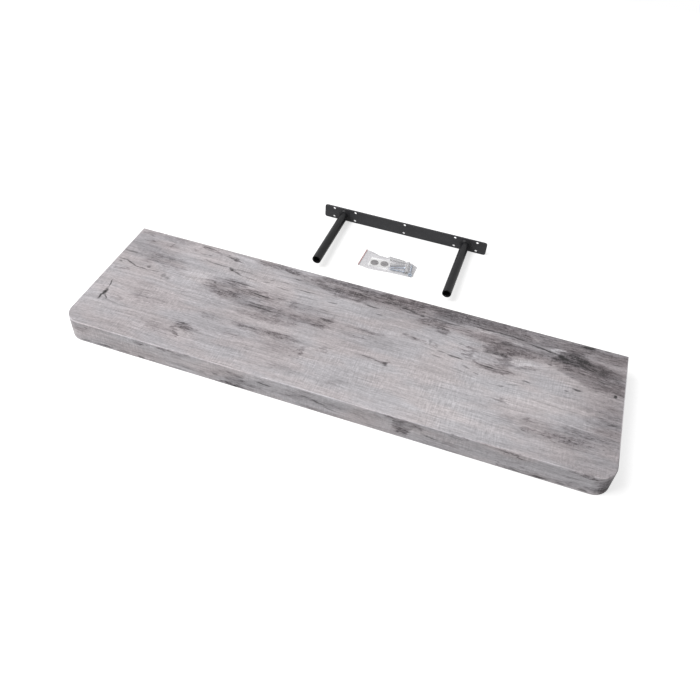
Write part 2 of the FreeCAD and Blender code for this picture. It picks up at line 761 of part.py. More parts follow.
def build():
    """Builds every sub-part and returns those that are written, in the order of assembly."""
    bores = {label: tube_bore(f"bore_{label}", f"{side} * tube_spacing / 2") for label, side in SIDES}
    plate_side = block(
        "plate_side", "plate_length", "2 * plate_thickness", "2 * plate_height",
        "-plate_length / 2", PLATE_FRONT, "-plate_height / 2",
    )
    foil_top = "board_height - foil_thickness"
    parts = [
        board_layer("top_foil", foil_top, "foil_thickness"),
        pierce_for_locks(board_layer("bottom_foil", "0", "foil_thickness")),
        board_layer("top_skin", f"{foil_top} - skin_thickness", "skin_thickness"),
        pierce_for_locks(board_layer("bottom_skin", "foil_thickness", "skin_thickness")),
        edge_band(),
        board_layer(
            "front_rail", CORE_BOTTOM, CORE_HEIGHT, rear="-board_depth + band_thickness + front_rail_width"
        ),
        rear_rail(list(bores.values())),
    ]
    for label, side in SIDES:
        parts.append(end_rail(label, side))
        parts.append(tube_block(label, side, bores[label]))
        parts.append(insert_nut(label, side))
        parts.append(locking_screw(label, side))
    parts += [
        honeycomb("honeycomb_left", f"(-{END_RAIL_INSIDE})", f"(-{STILE_OUTSIDE})"),
        honeycomb("honeycomb_middle", f"(-{STILE_INSIDE})", STILE_INSIDE),
        honeycomb("honeycomb_right", STILE_OUTSIDE, END_RAIL_INSIDE),
        wall_plate(),
    ]
    for label, side in SIDES:
        parts.append(support_tube(label, side, plate_side))
        parts.append(weld_bead(label, side, plate_side))
    parts += [
        bag_lower_film(),
        bag_upper_film(),
        bag_zip(),
        cover_disc_sheet(),
        cover_discs(),
        scattered("wall_screws", wall_screw(), SCREW_PLACES, "screw_head_diameter"),
        scattered("wall_plugs", wall_plug(), PLUG_PLACES, "plug_collar_diameter"),
    ]
    return parts


SOLIDS_PER_NODE = {
    "cover_discs": len(SIDES),
    "wall_screws": len(SCREW_PLACES),
    "wall_plugs": len(PLUG_PLACES),
}


def check(parts):
    """Stops the build where a feature failed or a sub-part isn't what it should be."""
    failed = [item.Name for item in doc.Objects if "Invalid" in item.State or "Error" in item.State]
    if failed:
        raise RuntimeError(f"failed features: {failed}")
    for part in parts:
        if part.Shape.isNull() or not part.Shape.isValid():
            raise RuntimeError(f"{part.Label}: its shape is null or not valid")
        if len(part.Shape.Solids) != SOLIDS_PER_NODE.get(part.Label, 1):
            raise RuntimeError(f"{part.Label}: {len(part.Shape.Solids)} solids")


parts = build()
doc.recompute()
check(parts)
os.makedirs("parts", exist_ok=True)
for part in parts:
    part.Shape.exportStep(f"parts/{part.Label}.step")
    box = part.Shape.BoundBox
    print(f"{part.Label:22s} {part.Shape.Volume / 1000:9.2f} cm3  x {box.XMin:8.2f} {box.XMax:8.2f}"
          f"  y {box.YMin:8.2f} {box.YMax:8.2f}  z {box.ZMin:7.2f} {box.ZMax:7.2f}")
travel = number("(board_height - plate_height) / 2 / sin(tube_tilt)")
print(f"{len(parts)} nodes; bracket travel {travel:.3f} mm")
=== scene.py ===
import math

import bmesh
import bpy
import numpy as np
from mathutils import Euler, Matrix, Vector

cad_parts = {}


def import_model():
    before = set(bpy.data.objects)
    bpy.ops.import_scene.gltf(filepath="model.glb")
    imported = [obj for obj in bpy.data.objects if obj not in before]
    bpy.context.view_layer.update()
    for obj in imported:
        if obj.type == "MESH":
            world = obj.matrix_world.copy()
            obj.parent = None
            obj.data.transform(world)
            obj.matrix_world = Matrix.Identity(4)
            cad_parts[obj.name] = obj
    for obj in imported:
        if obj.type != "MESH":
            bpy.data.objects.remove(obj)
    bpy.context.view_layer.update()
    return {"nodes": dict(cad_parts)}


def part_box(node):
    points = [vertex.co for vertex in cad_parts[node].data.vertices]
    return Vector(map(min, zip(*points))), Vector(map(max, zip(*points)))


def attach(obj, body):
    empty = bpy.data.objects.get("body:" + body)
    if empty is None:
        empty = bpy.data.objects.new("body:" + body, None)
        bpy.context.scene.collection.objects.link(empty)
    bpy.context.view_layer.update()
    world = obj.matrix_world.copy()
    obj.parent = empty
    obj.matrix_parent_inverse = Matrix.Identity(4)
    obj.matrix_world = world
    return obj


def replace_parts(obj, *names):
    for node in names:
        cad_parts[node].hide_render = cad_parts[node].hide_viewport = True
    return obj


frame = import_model()
nodes = frame["nodes"]

MM = 0.001

# The board, in the frame's own places.
BOARD_LOW, BOARD_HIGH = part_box("edge_band")
CORNER_RADIUS = 25.0

# The bag of fittings has its own axes: along X from the zip to the closed end, centred on Y.
BAG_MIDDLE = Vector((-1.0, 126.92, 0.0)) * MM
BAG_TURN = math.radians(-2.4)
BAG_TO_ROW = Matrix.Translation(BAG_MIDDLE) @ Matrix.Rotation(BAG_TURN, 4, "Z")
BAG_START = -48.0
BAG_END = 48.0
FILM = 0.3
ZIP_LINE_PLACE = -47.0
ZIP_LINE_HALF_WIDTH = 0.35

# Screws and plugs in the bag: how far the head or collar lies from the closed end and across the bag, and the
# turn of the length from the bag's own, in degrees.
SCREW_PLACES = ((17.6, -1.6, 201.0), (15.5, -11.5, 187.5), (4.5, -15.2, 100.5))
PLUG_PLACES = ((11.3, -11.5, 100.5), (49.0, 12.6, 0.0), (43.8, -4.4, 26.0))
LYING_CLEARANCE = 0.1


# --- Small tools for meshes


def new_object(name, mesh_data, body):
    """Links a mesh into the scene, on a body."""
    item = bpy.data.objects.new(name, mesh_data)
    bpy.context.scene.collection.objects.link(item)
    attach(item, body)
    return item


def mesh_from(name, points, faces):
    """A smooth-shaded mesh."""
    mesh = bpy.data.meshes.new(name)
    mesh.from_pydata([tuple(p) for p in points], [], faces)
    mesh.validate()
    mesh.polygons.foreach_set("use_smooth", [True] * len(mesh.polygons))
    return mesh


def lie_in_bag(from_end, across, degrees, radius):
    """Where a fastener lies in the bag: its own Z along the bag's plane, resting on its widest part."""
    lift = FILM + LYING_CLEARANCE + radius
    place = Matrix.Translation(Vector((BAG_END - from_end, across, lift)) * MM)
    heading = Matrix.Rotation(math.radians(degrees), 4, "Z")
    laid_down = Matrix.Rotation(math.pi / 2, 4, "Y")
    return BAG_TO_ROW @ place @ heading @ laid_down


def turned(rings, sides):
    """Points and faces of a closed turned form, from (radius, height) rings.

    A radius may be a function of the angle.
    """
    points, faces = [], []
    for radius, height in rings:
        for k in range(sides):
            angle = math.tau * k / sides
            r = radius(angle) if callable(radius) else radius
            points.append(Vector((r * math.cos(angle), r * math.sin(angle), height)))
    for ring in range(len(rings) - 1):
        for k in range(sides):
            a, b = ring * sides + k, ring * sides + (k + 1) % sides
            faces.append((a, b, b + sides, a + sides))
    faces.append(tuple(reversed(range(sides))))
    last = (len(rings) - 1) * sides
    faces.append(tuple(last + k for k in range(sides)))
    return points, faces


# --- Wall screws: countersunk, with a cross recess, a plain neck and a rolled thread


SCREW_LENGTH = 28.0
SCREW_HEAD_RADIUS = 3.7
SCREW_HEAD_HEIGHT = 2.2
SCREW_NECK_RADIUS = 1.55
SCREW_NECK_END = 3.4
SCREW_SIDES = 28
# The head from its flat top down to the neck: radius and depth.
SCREW_HEAD_OUTLINE = (
    (3.55, 0.0), (SCREW_HEAD_RADIUS, 0.12), (SCREW_HEAD_RADIUS, 0.4), (1.9, SCREW_HEAD_HEIGHT),
    (SCREW_NECK_RADIUS, 2.7),
)
# The thread grows out of the neck over its run-in. A flank is the share of the pitch that each side of the
# crest takes.
THREAD_ROOT_RADIUS = 1.3
THREAD_CREST_RADIUS = 2.0
THREAD_PITCH = 1.6
THREAD_START = 6.0
THREAD_RUN_IN = 2.0
THREAD_FLANK = 0.2
THREAD_STEPS = 8
# Towards the point the root shrinks along a power curve, and the crest to this share of its height.
POINT_TAPER = 5.5
POINT_CURVE = 0.7
POINT_CREST = 0.15
POINT_LENGTH = 0.2
POINT_RADIUS = 0.15
# The recess is a cross with arms of this half width, cut round at their ends. It narrows as it goes down: the
# levels are the share of its outline, and the depth.
RECESS_REACH = 1.9
RECESS_HALF_WIDTH = 0.75
RECESS_ROUND_END = 1.02 * RECESS_REACH
RECESS_LEVELS = ((1.0, 0.0), (0.9, 0.35), (0.55, 1.6))


def thread_radius(height, angle):
    """The screw's radius at a height, round the helix: a sharp crest between wide valleys."""
    turn_share = (height / THREAD_PITCH - angle / math.tau) % 1.0
    crest = max(0.0, 1.0 - abs(turn_share - 0.5) / THREAD_FLANK)
    fade_in = min(1.0, max(0.0, (height - THREAD_START) / THREAD_RUN_IN))
    from_tip = min(1.0, max(0.0, (SCREW_LENGTH - height) / POINT_TAPER))
    root = THREAD_ROOT_RADIUS * from_tip ** POINT_CURVE
    core = SCREW_NECK_RADIUS * (1.0 - fade_in) + root * fade_in
    full_height = THREAD_CREST_RADIUS - THREAD_ROOT_RADIUS
    return core + crest * fade_in * full_height * (POINT_CREST + (1.0 - POINT_CREST) * from_tip)


def recessed_head(points, faces):
    """Adds the head's flat top with its cross recess sunk into it, joined to the head's rim."""
    outline = []
    for k in range(SCREW_SIDES):
        angle = math.tau * k / SCREW_SIDES
        # a cross seen from above: each point lies on the nearer arm's outline
        folded = (angle + math.pi / 4) % (math.pi / 2) - math.pi / 4
        arm_side = RECESS_HALF_WIDTH / max(abs(math.sin(folded)), 0.001)
        outline.append(min(RECESS_REACH / math.cos(folded), arm_side, RECESS_ROUND_END))
    loops = [list(range(SCREW_SIDES))]
    for share, depth in RECESS_LEVELS:
        first = len(points)
        loops.append([first + k for k in range(SCREW_SIDES)])
        for k in range(SCREW_SIDES):
            angle = math.tau * k / SCREW_SIDES
            r = outline[k] * share
            points.append(Vector((r * math.cos(angle), r * math.sin(angle), depth)))
    for outer, within in zip(loops, loops[1:]):
        for k in range(SCREW_SIDES):
            following = (k + 1) % SCREW_SIDES
            faces.append((outer[following], outer[k], within[k], within[following]))
    faces.append(tuple(reversed(loops[-1])))


def wall_screw(name, place):
    """A screw that lies in the bag: the head's outline, then rings round the thread down to the point."""
    rings = list(SCREW_HEAD_OUTLINE)
    height = SCREW_NECK_END
    while height < SCREW_LENGTH - POINT_LENGTH:
        rings.append((lambda angle, at=height: thread_radius(at, angle), height))
        height += THREAD_PITCH / THREAD_STEPS
    rings.append((POINT_RADIUS, SCREW_LENGTH))
    points, faces = turned(rings, SCREW_SIDES)
    # the flat cap over the head gives way to the recess
    faces.pop(-2)
    recessed_head(points, faces)
    to_place = lie_in_bag(*place, SCREW_HEAD_RADIUS)
    mesh = mesh_from(name, [to_place @ (p * MM) for p in points], faces)
    item = new_object(name, mesh, "fittings_bag")
    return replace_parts(item, "wall_screws")


# --- Wall plugs: nylon tubes with a collar and saw-tooth barbs, split by a slot past their neck


PLUG_LENGTH = 25.0
PLUG_RADIUS = 3.0
PLUG_TIP_RADIUS = 2.2
PLUG_COLLAR_RADIUS = 3.5
PLUG_COLLAR_HEIGHT = 1.0
PLUG_NECK_END = 6.0
PLUG_SIDES = 32
PLUG_BARBS = 5
BARB_DEPTH = 0.55
BARB_CREST_END = 0.5
BORE_MOUTH_RADIUS = 1.6
BORE_RADIUS = 1.3
BORE_TIP_RADIUS = 0.975
SLOT_HALF_WIDTH = 0.28
SLOT_RUN_IN = 1.5
SHARP_ANGLE = math.radians(35)
# The collar and the neck, from the flat end: radius and height.
PLUG_COLLAR_OUTLINE = (
    (3.3, 0.0), (PLUG_COLLAR_RADIUS, 0.2), (PLUG_COLLAR_RADIUS, 0.7), (3.25, 0.9), (2.9, PLUG_COLLAR_HEIGHT),
    (2.85, PLUG_NECK_END),
)


def plug_profile():
    """The plug's wall, as (radius, height): along its outside to the tip, and back through its bore."""
    profile = list(PLUG_COLLAR_OUTLINE)
    barb = (PLUG_LENGTH - PLUG_NECK_END) / PLUG_BARBS
    for k in range(PLUG_BARBS):
        start = PLUG_NECK_END + k * barb
        profile += [(PLUG_RADIUS, start + 0.1), (PLUG_RADIUS, start + BARB_CREST_END)]
        profile.append((PLUG_RADIUS - BARB_DEPTH, start + barb))
    profile += [(PLUG_TIP_RADIUS, PLUG_LENGTH), (BORE_TIP_RADIUS, PLUG_LENGTH)]
    return profile + [(BORE_RADIUS, PLUG_NECK_END), (BORE_MOUTH_RADIUS, 0.0)]


def wall_plug(name, place):
    """A plug that lies in the bag, as two halves that stand apart past the neck by the slot."""
    profile = plug_profile()
    count = len(profile)
    arc = PLUG_SIDES // 2
    bm = bmesh.new()
    for half, away in ((0, 1), (1, -1)):
        grid = []
        for k in range(arc + 1):
            angle = math.pi * half + math.pi * k / arc
            column = []
            for radius, height in profile:
                open_by = SLOT_HALF_WIDTH * min(1.0, max(0.0, (height - PLUG_NECK_END) / SLOT_RUN_IN))
                x, y = radius * math.cos(angle), radius * math.sin(angle)
                y += open_by * away * (1.0 - abs(math.sin(angle)))
                column.append(bm.verts.new(Vector((x, y, height))))
            grid.append(column)
        for k in range(arc):
            for j in range(count):
                following = (j + 1) % count
                bm.faces.new((grid[k][j], grid[k][following], grid[k + 1][following], grid[k + 1][j]))
        # the halves' cut faces, which line the slot
        bm.faces.new(list(reversed(grid[0])))
        bm.faces.new(grid[-1])
    bmesh.ops.recalc_face_normals(bm, faces=bm.faces[:])
    to_place = lie_in_bag(*place, PLUG_COLLAR_RADIUS) @ Matrix.Scale(MM, 4)
    bmesh.ops.transform(bm, matrix=to_place, verts=bm.verts[:])
    mesh = bpy.data.meshes.new(name)
    bm.to_mesh(mesh)
    bm.free()
    mesh.polygons.foreach_set("use_smooth", [True] * len(mesh.polygons))
    mesh.set_sharp_from_angle(angle=SHARP_ANGLE)
    item = new_object(name, mesh, "fittings_bag")
    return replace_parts(item, "wall_plugs")


# --- The clear bag: two films sealed round three edges, draped over what is in it


# The bag's long edges in its own frame, in millimetres: along the bag, and across it.
REAR_EDGE = (
    (BAG_START, 22.3), (-40.0, 22.6), (-31.0, 20.6), (-24.0, 17.4), (-12.0, 17.0), (6.0, 16.4), (24.0, 16.2),
    (40.0, 16.8), (45.6, 16.0), (BAG_END, 12.6),
)
FRONT_EDGE = (
    (BAG_START, -22.3), (-40.0, -22.9), (-28.0, -24.2), (-12.0, -22.6), (6.0, -19.6), (24.0, -17.6),
    (40.0, -16.6), (46.2, -16.2), (BAG_END, -13.8),
)
# The films, from the press seal to the bag's closed end, as a grid of points.
FILM_START = -46.2
FILM_ALONG, FILM_ACROSS = 150, 66
LOWER_FILM_HEIGHT = 0.05
BAG_TOP = 8.0
# Past the sealed edges, the film becomes slack over a short run.
SEAL_WIDTH = 1.6
SEAL_HEIGHT = 0.25
SLACK_RUN = 3.0
CREASE_HEIGHT = 0.08
# How far the film keeps from the flat pieces and from the round ones below it.
FILM_OVER_CARD = 0.25
FILM_OVER_RODS = 0.35
# The slack, in square millimetres, of the test whether a point lies over a flat piece.
CARD_MARGIN = 0.5
DRAPE_ROUNDS = 900
DRAPE_SAG = 0.004
# Folds of the upper film: place along and across, turn in degrees, half length, half width, height.
FOLDS = (
    (-41.0, 8.0, 82.0, 9.0, 1.1, 0.7), (-38.5, -9.0, 96.0, 10.0, 1.2, 0.8),
    (-33.0, 14.0, 20.0, 8.0, 1.0, 0.7), (-27.0, -18.0, -14.0, 10.0, 1.1, 0.9),
    (-20.0, 12.5, 8.0, 9.0, 0.9, 0.6), (-9.0, -17.5, 12.0, 10.0, 1.2, 0.9),
    (4.0, 6.0, 58.0, 7.0, 1.0, 0.7), (8.0, -16.0, 32.0, 7.0, 0.9, 0.8),
    (19.0, 8.0, -36.0, 8.0, 1.0, 0.7), (27.0, 13.0, 14.0, 9.0, 1.0, 0.7),
    (36.0, 4.0, 72.0, 8.0, 1.1, 0.9), (41.0, 9.0, 38.0, 6.0, 0.9, 0.8),
    (44.0, -8.0, 98.0, 6.0, 0.9, 0.7), (-2.0, -6.0, -62.0, 8.0, 0.9, 0.5),
    (12.0, 12.5, -8.0, 8.0, 0.8, 0.6),
)


def edge_at(edge, x):
    """How far across the bag one of its long edges lies, at places along it."""
    along, across = zip(*edge)
    return np.interp(x, along, across)


def from_line(x, y, at, degrees):
    """A grid's places along a line through a point, and off that line."""
    angle = math.radians(degrees)
    dx, dy = x - at[0], y - at[1]
    return dx * math.cos(angle) + dy * math.sin(angle), -dx * math.sin(angle) + dy * math.cos(angle)


def lying_rods():
    """The fasteners as stepped rods: place, start and end of the step, its radius and the rod's widest."""
    for place in SCREW_PLACES:
        yield place, 0.0, SCREW_HEAD_HEIGHT, SCREW_HEAD_RADIUS, SCREW_HEAD_RADIUS
        yield place, SCREW_HEAD_HEIGHT, SCREW_LENGTH, THREAD_CREST_RADIUS, SCREW_HEAD_RADIUS
    for place in PLUG_PLACES:
        yield place, 0.0, PLUG_COLLAR_HEIGHT, PLUG_COLLAR_RADIUS, PLUG_COLLAR_RADIUS
        yield place, PLUG_COLLAR_HEIGHT, PLUG_LENGTH, PLUG_RADIUS, PLUG_COLLAR_RADIUS


def contents_height(x, y):
    """How high the film has to lie over the fittings below a grid of points, in the bag's frame."""
    height = np.full(x.shape, FILM)
    to_bag = BAG_TO_ROW.inverted()
    for node in ("cover_disc_sheet", "cover_discs"):
        mesh = nodes[node].data
        # a point is above a flat piece where it lies inside one of its upper faces
        for face in mesh.polygons:
            if face.normal.z < 0.9:
                continue
            corners = [to_bag @ mesh.vertices[v].co / MM for v in face.vertices]
            inside = np.full(x.shape, True)
            for a, b in zip(corners, corners[1:] + corners[:1]):
                side = (b.x - a.x) * (y - a.y) - (b.y - a.y) * (x - a.x)
                inside &= side >= -CARD_MARGIN
            height = np.where(inside, np.maximum(height, corners[0].z + FILM_OVER_CARD), height)
    for (from_end, across, degrees), start, end, radius, widest in lying_rods():
        along, off = from_line(x, y, (BAG_END - from_end, across), degrees)
        past = np.maximum(np.maximum(start - along, along - end), 0.0)
        reach = (radius + FILM_OVER_RODS) ** 2 - off ** 2 - past ** 2
        top = FILM + LYING_CLEARANCE + widest + np.sqrt(np.maximum(reach, 0.0))
        height = np.where(reach > 0, np.maximum(height, top), height)
    return height


def drape(floor, pinned):
    """A film pulled tight over a height field: pinned at its edges, level between what holds it up."""
    film = floor.copy()
    for _ in range(DRAPE_ROUNDS):
        middle = (film[:-2, 1:-1] + film[2:, 1:-1] + film[1:-1, :-2] + film[1:-1, 2:]) / 4.0
        film[1:-1, 1:-1] = np.maximum(middle - DRAPE_SAG, floor[1:-1, 1:-1])
        film = np.where(pinned, floor, film)
    return film


def ridge(x, y, at, turn, length, width):
    """One soft fold in the film: a ridge of unit height along a wandering line, fading to its ends."""
    along, off = from_line(x, y, at, turn)
    off = off + 0.05 * width * np.sin(along * 0.7)
    return np.exp(-(along / length) ** 2) * np.exp(-(off / width) ** 2)


def upper_film(x, y, to_edge):
    """The upper film's height: sealed at its edges, draped over the fittings, and folded where slack."""
    sealed = to_edge < SEAL_WIDTH
    floor = np.where(sealed, FILM + SEAL_HEIGHT, contents_height(x, y))
    folds = np.zeros(x.shape)
    for along, across, turn, length, width, height in FOLDS:
        folds = np.maximum(folds, height * ridge(x, y, (along, across), turn, length, width))
    crease = CREASE_HEIGHT * np.sin(0.9 * x + 1.7 * np.sin(0.35 * y)) * np.sin(0.55 * y - 0.4 * x)
    slack = np.clip((to_edge - SEAL_WIDTH) / SLACK_RUN, 0.0, 1.0)
    return np.minimum(drape(floor, sealed) + (folds + np.abs(crease)) * slack, BAG_TOP)


def film_bag():
    """Both films as one closed skin: the upper one over the fittings, and the lower one flat under them."""
    xs = np.linspace(FILM_START, BAG_END, FILM_ALONG)
    x = np.repeat(xs[:, None], FILM_ACROSS, axis=1)
    rear, front = edge_at(REAR_EDGE, xs)[:, None], edge_at(FRONT_EDGE, xs)[:, None]
    y = front + (rear - front) * np.linspace(0.0, 1.0, FILM_ACROSS)[None, :]
    to_edge = np.minimum(np.minimum(y - front, rear - y), np.minimum(BAG_END - x, x - BAG_START))
    points, faces = [], []
    for level in (upper_film(x, y, to_edge), np.full(x.shape, LOWER_FILM_HEIGHT)):
        for i in range(FILM_ALONG):
            for j in range(FILM_ACROSS):
                points.append(BAG_TO_ROW @ (Vector((x[i, j], y[i, j], level[i, j])) * MM))
    count = FILM_ALONG * FILM_ACROSS
    for i in range(FILM_ALONG - 1):
        for j in range(FILM_ACROSS - 1):
            a, b = i * FILM_ACROSS + j, (i + 1) * FILM_ACROSS + j
            faces.append((a, b, b + 1, a + 1))
            faces.append((count + a, count + a + 1, count + b + 1, count + b))
    rim = [i * FILM_ACROSS for i in range(FILM_ALONG)]
    rim += [(FILM_ALONG - 1) * FILM_ACROSS + j for j in range(1, FILM_ACROSS)]
    rim += [i * FILM_ACROSS + FILM_ACROSS - 1 for i in range(FILM_ALONG - 2, -1, -1)]
    rim += list(range(FILM_ACROSS - 2, 0, -1))
    for a, b in zip(rim, rim[1:] + rim[:1]):
        faces.append((b, a, count + a, count + b))
    item = new_object("film_bag", mesh_from("film_bag", points, faces), "fittings_bag")
    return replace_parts(item, "bag_upper_film", "bag_lower_film")


bag = film_bag()
screws = [wall_screw(f"screw_{k}", place) for k, place in enumerate(SCREW_PLACES, start=1)]
plugs = [wall_plug(f"plug_{k}", place) for k, place in enumerate(PLUG_PLACES, start=1)]


# --- Materials: a small helper that adds nodes and links them


class Shader:
    """A material's node tree, with short calls that add nodes and give back their outputs."""

    def __init__(self, name):
        self.material = bpy.data.materials.new(name)
        self.material.use_nodes = True
        self.tree = self.material.node_tree
        self.surface = self.tree.nodes["Principled BSDF"]

    def add(self, kind, inputs=None, **settings):
        node = self.tree.nodes.new("ShaderNode" + kind)
        for key, value in settings.items():
            setattr(node, key, value)
        for key, value in (inputs or {}).items():
            self.feed(node.inputs[key], value)
        return node

    def feed(self, socket, value):
        if isinstance(value, bpy.types.NodeSocket):
            self.tree.links.new(value, socket)
        else:
            socket.default_value = value

    def math(self, operation, *values, clamp=False):
        return self.add("Math", dict(enumerate(values)), operation=operation, use_clamp=clamp).outputs[0]

    def vector(self, operation, *values):
        node = self.add("VectorMath", dict(enumerate(values)), operation=operation)
        return node.outputs["Value" if operation == "DOT_PRODUCT" else "Vector"]

    def place(self):
        """The point's place in the frame, in millimetres."""
        inputs = {0: self.add("TexCoord").outputs["Object"], "Scale": 1.0 / MM}
        return self.add("VectorMath", inputs, operation="SCALE").outputs["Vector"]

    def split(self, vector):
        node = self.add("SeparateXYZ", {0: vector})
        return node.outputs[0], node.outputs[1], node.outputs[2]

    def join(self, x, y):
        return self.add("CombineXYZ", {0: x, 1: y}).outputs[0]

    def noise(self, vector, size, seed, detail=2.0, roughness=0.5):
        """Soft noise between 0 and 1, about one half, whose blots are about as large as size."""
        stretch = tuple(1.0 / s for s in size)
        drawn = self.vector("MULTIPLY_ADD", vector, stretch, (seed, seed * 1.7, seed * 2.3))
        inputs = {"Vector": drawn, "Scale": 1.0, "Detail": detail, "Roughness": roughness}
        return self.add("TexNoise", inputs, noise_dimensions="3D").outputs["Fac"]

    def centred(self, value, strength):
        """A value about one half, as a change of this strength either way."""
        return self.math("MULTIPLY", self.math("SUBTRACT", value, 0.5), 2.0 * strength)

    def varied(self, level, *changes):
        """A level with changes added, each given as a value about one half and its strength."""
        for value, strength in changes:
            level = self.math("ADD", level, self.centred(value, strength))
        return level

    def ramp(self, value, low, high, to_low=0.0, to_high=1.0):
        inputs = {"Value": value, "From Min": low, "From Max": high, "To Min": to_low, "To Max": to_high}
        return self.add("MapRange", inputs, interpolation_type="SMOOTHSTEP").outputs["Result"]

    def spot(self, vector, x, y, half_length, half_width, turn, depth, edge):
        """An oval of this depth at a place, fading out over the outer share of its size that edge gives."""
        inputs = {
            "Vector": vector, "Location": (x, y, 0.0), "Rotation": (0.0, 0.0, math.radians(turn)),
            "Scale": (half_length, half_width, 1.0),
        }
        oval = self.add("Mapping", inputs, vector_type="TEXTURE").outputs[0]
        inside = self.add("TexGradient", {"Vector": oval}, gradient_type="SPHERICAL").outputs["Fac"]
        return self.ramp(inside, 0.0, edge, 0.0, depth)

    def spots(self, vector, places):
        total = 0.0
        for place in places:
            total = self.math("ADD", total, self.spot(vector, *place))
        return total

    def bump(self, height, distance, strength):
        """Relief from a value between 0 and 1, this deep in metres."""
        relief = self.add("Bump", {"Height": height, "Strength": strength, "Distance": distance})
        self.feed(self.surface.inputs["Normal"], relief.outputs["Normal"])

    def colour(self, level, red, green, blue):
        """A display level between 0 and 1, tinted, as the linear colour that shaders take."""
        shades = [self.math("MULTIPLY", level, share) for share in (red, green, blue)]
        shade = self.add("CombineColor", dict(enumerate(shades))).outputs[0]
        return self.add("Gamma", {"Color": shade, "Gamma": 2.2}).outputs[0]

    def look(self, level, tint, roughness, gloss=0.5):
        """Sets the surface's colour, as a tinted display level, its roughness and its gloss."""
        self.feed(self.surface.inputs["Base Color"], self.colour(level, *tint))
        self.feed(self.surface.inputs["Roughness"], roughness)
        self.surface.inputs["Specular IOR Level"].default_value = gloss


# --- The printed decor: grey weathered wood


# Each feature of the print: place along and across the board, half length, half width, turn in degrees,
# depth (how much darker the display level gets, or lighter where it is negative) and the share that fades.
TOP_BROAD = (
    # where the print as a whole is darker or paler
    (-340, -110, 400, 260, 0, 0.035, 1), (-350, -215, 190, 46, 0, 0.035, 1), (-365, -25, 75, 60, 0, 0.08, 1),
    (-165, -85, 130, 48, 0, 0.05, 1), (-60, -2, 110, 34, 0, 0.10, 1), (-170, -165, 240, 70, 0, 0.04, 1),
    (-60, -90, 80, 40, 0, 0.05, 1),
    # the weathered strip along the rear of the right half, and the dark corner behind the fan
    (215, 8, 290, 25, -1, 0.17, 0.45), (150, -8, 230, 34, 0, 0.07, 0.8), (372, -14, 76, 30, 0, 0.10, 0.5),
    (350, -42, 68, 32, -18, 0.16, 0.45), (385, -50, 44, 34, -20, 0.05, 0.8),
    (395, -125, 100, 150, 0, 0.11, 1), (245, -32, 90, 30, 0, 0.13, 0.8), (80, -20, 120, 50, 0, 0.06, 1),
    (20, -90, 95, 70, 0, 0.05, 1), (212, -62, 60, 46, 0, 0.06, 1), (165, -185, 120, 66, 0, -0.045, 1),
    (265, -124, 180, 34, 0, -0.045, 1), (345, -218, 120, 36, 0, 0.05, 1), (-262, -66, 36, 26, 0, -0.05, 1),
)
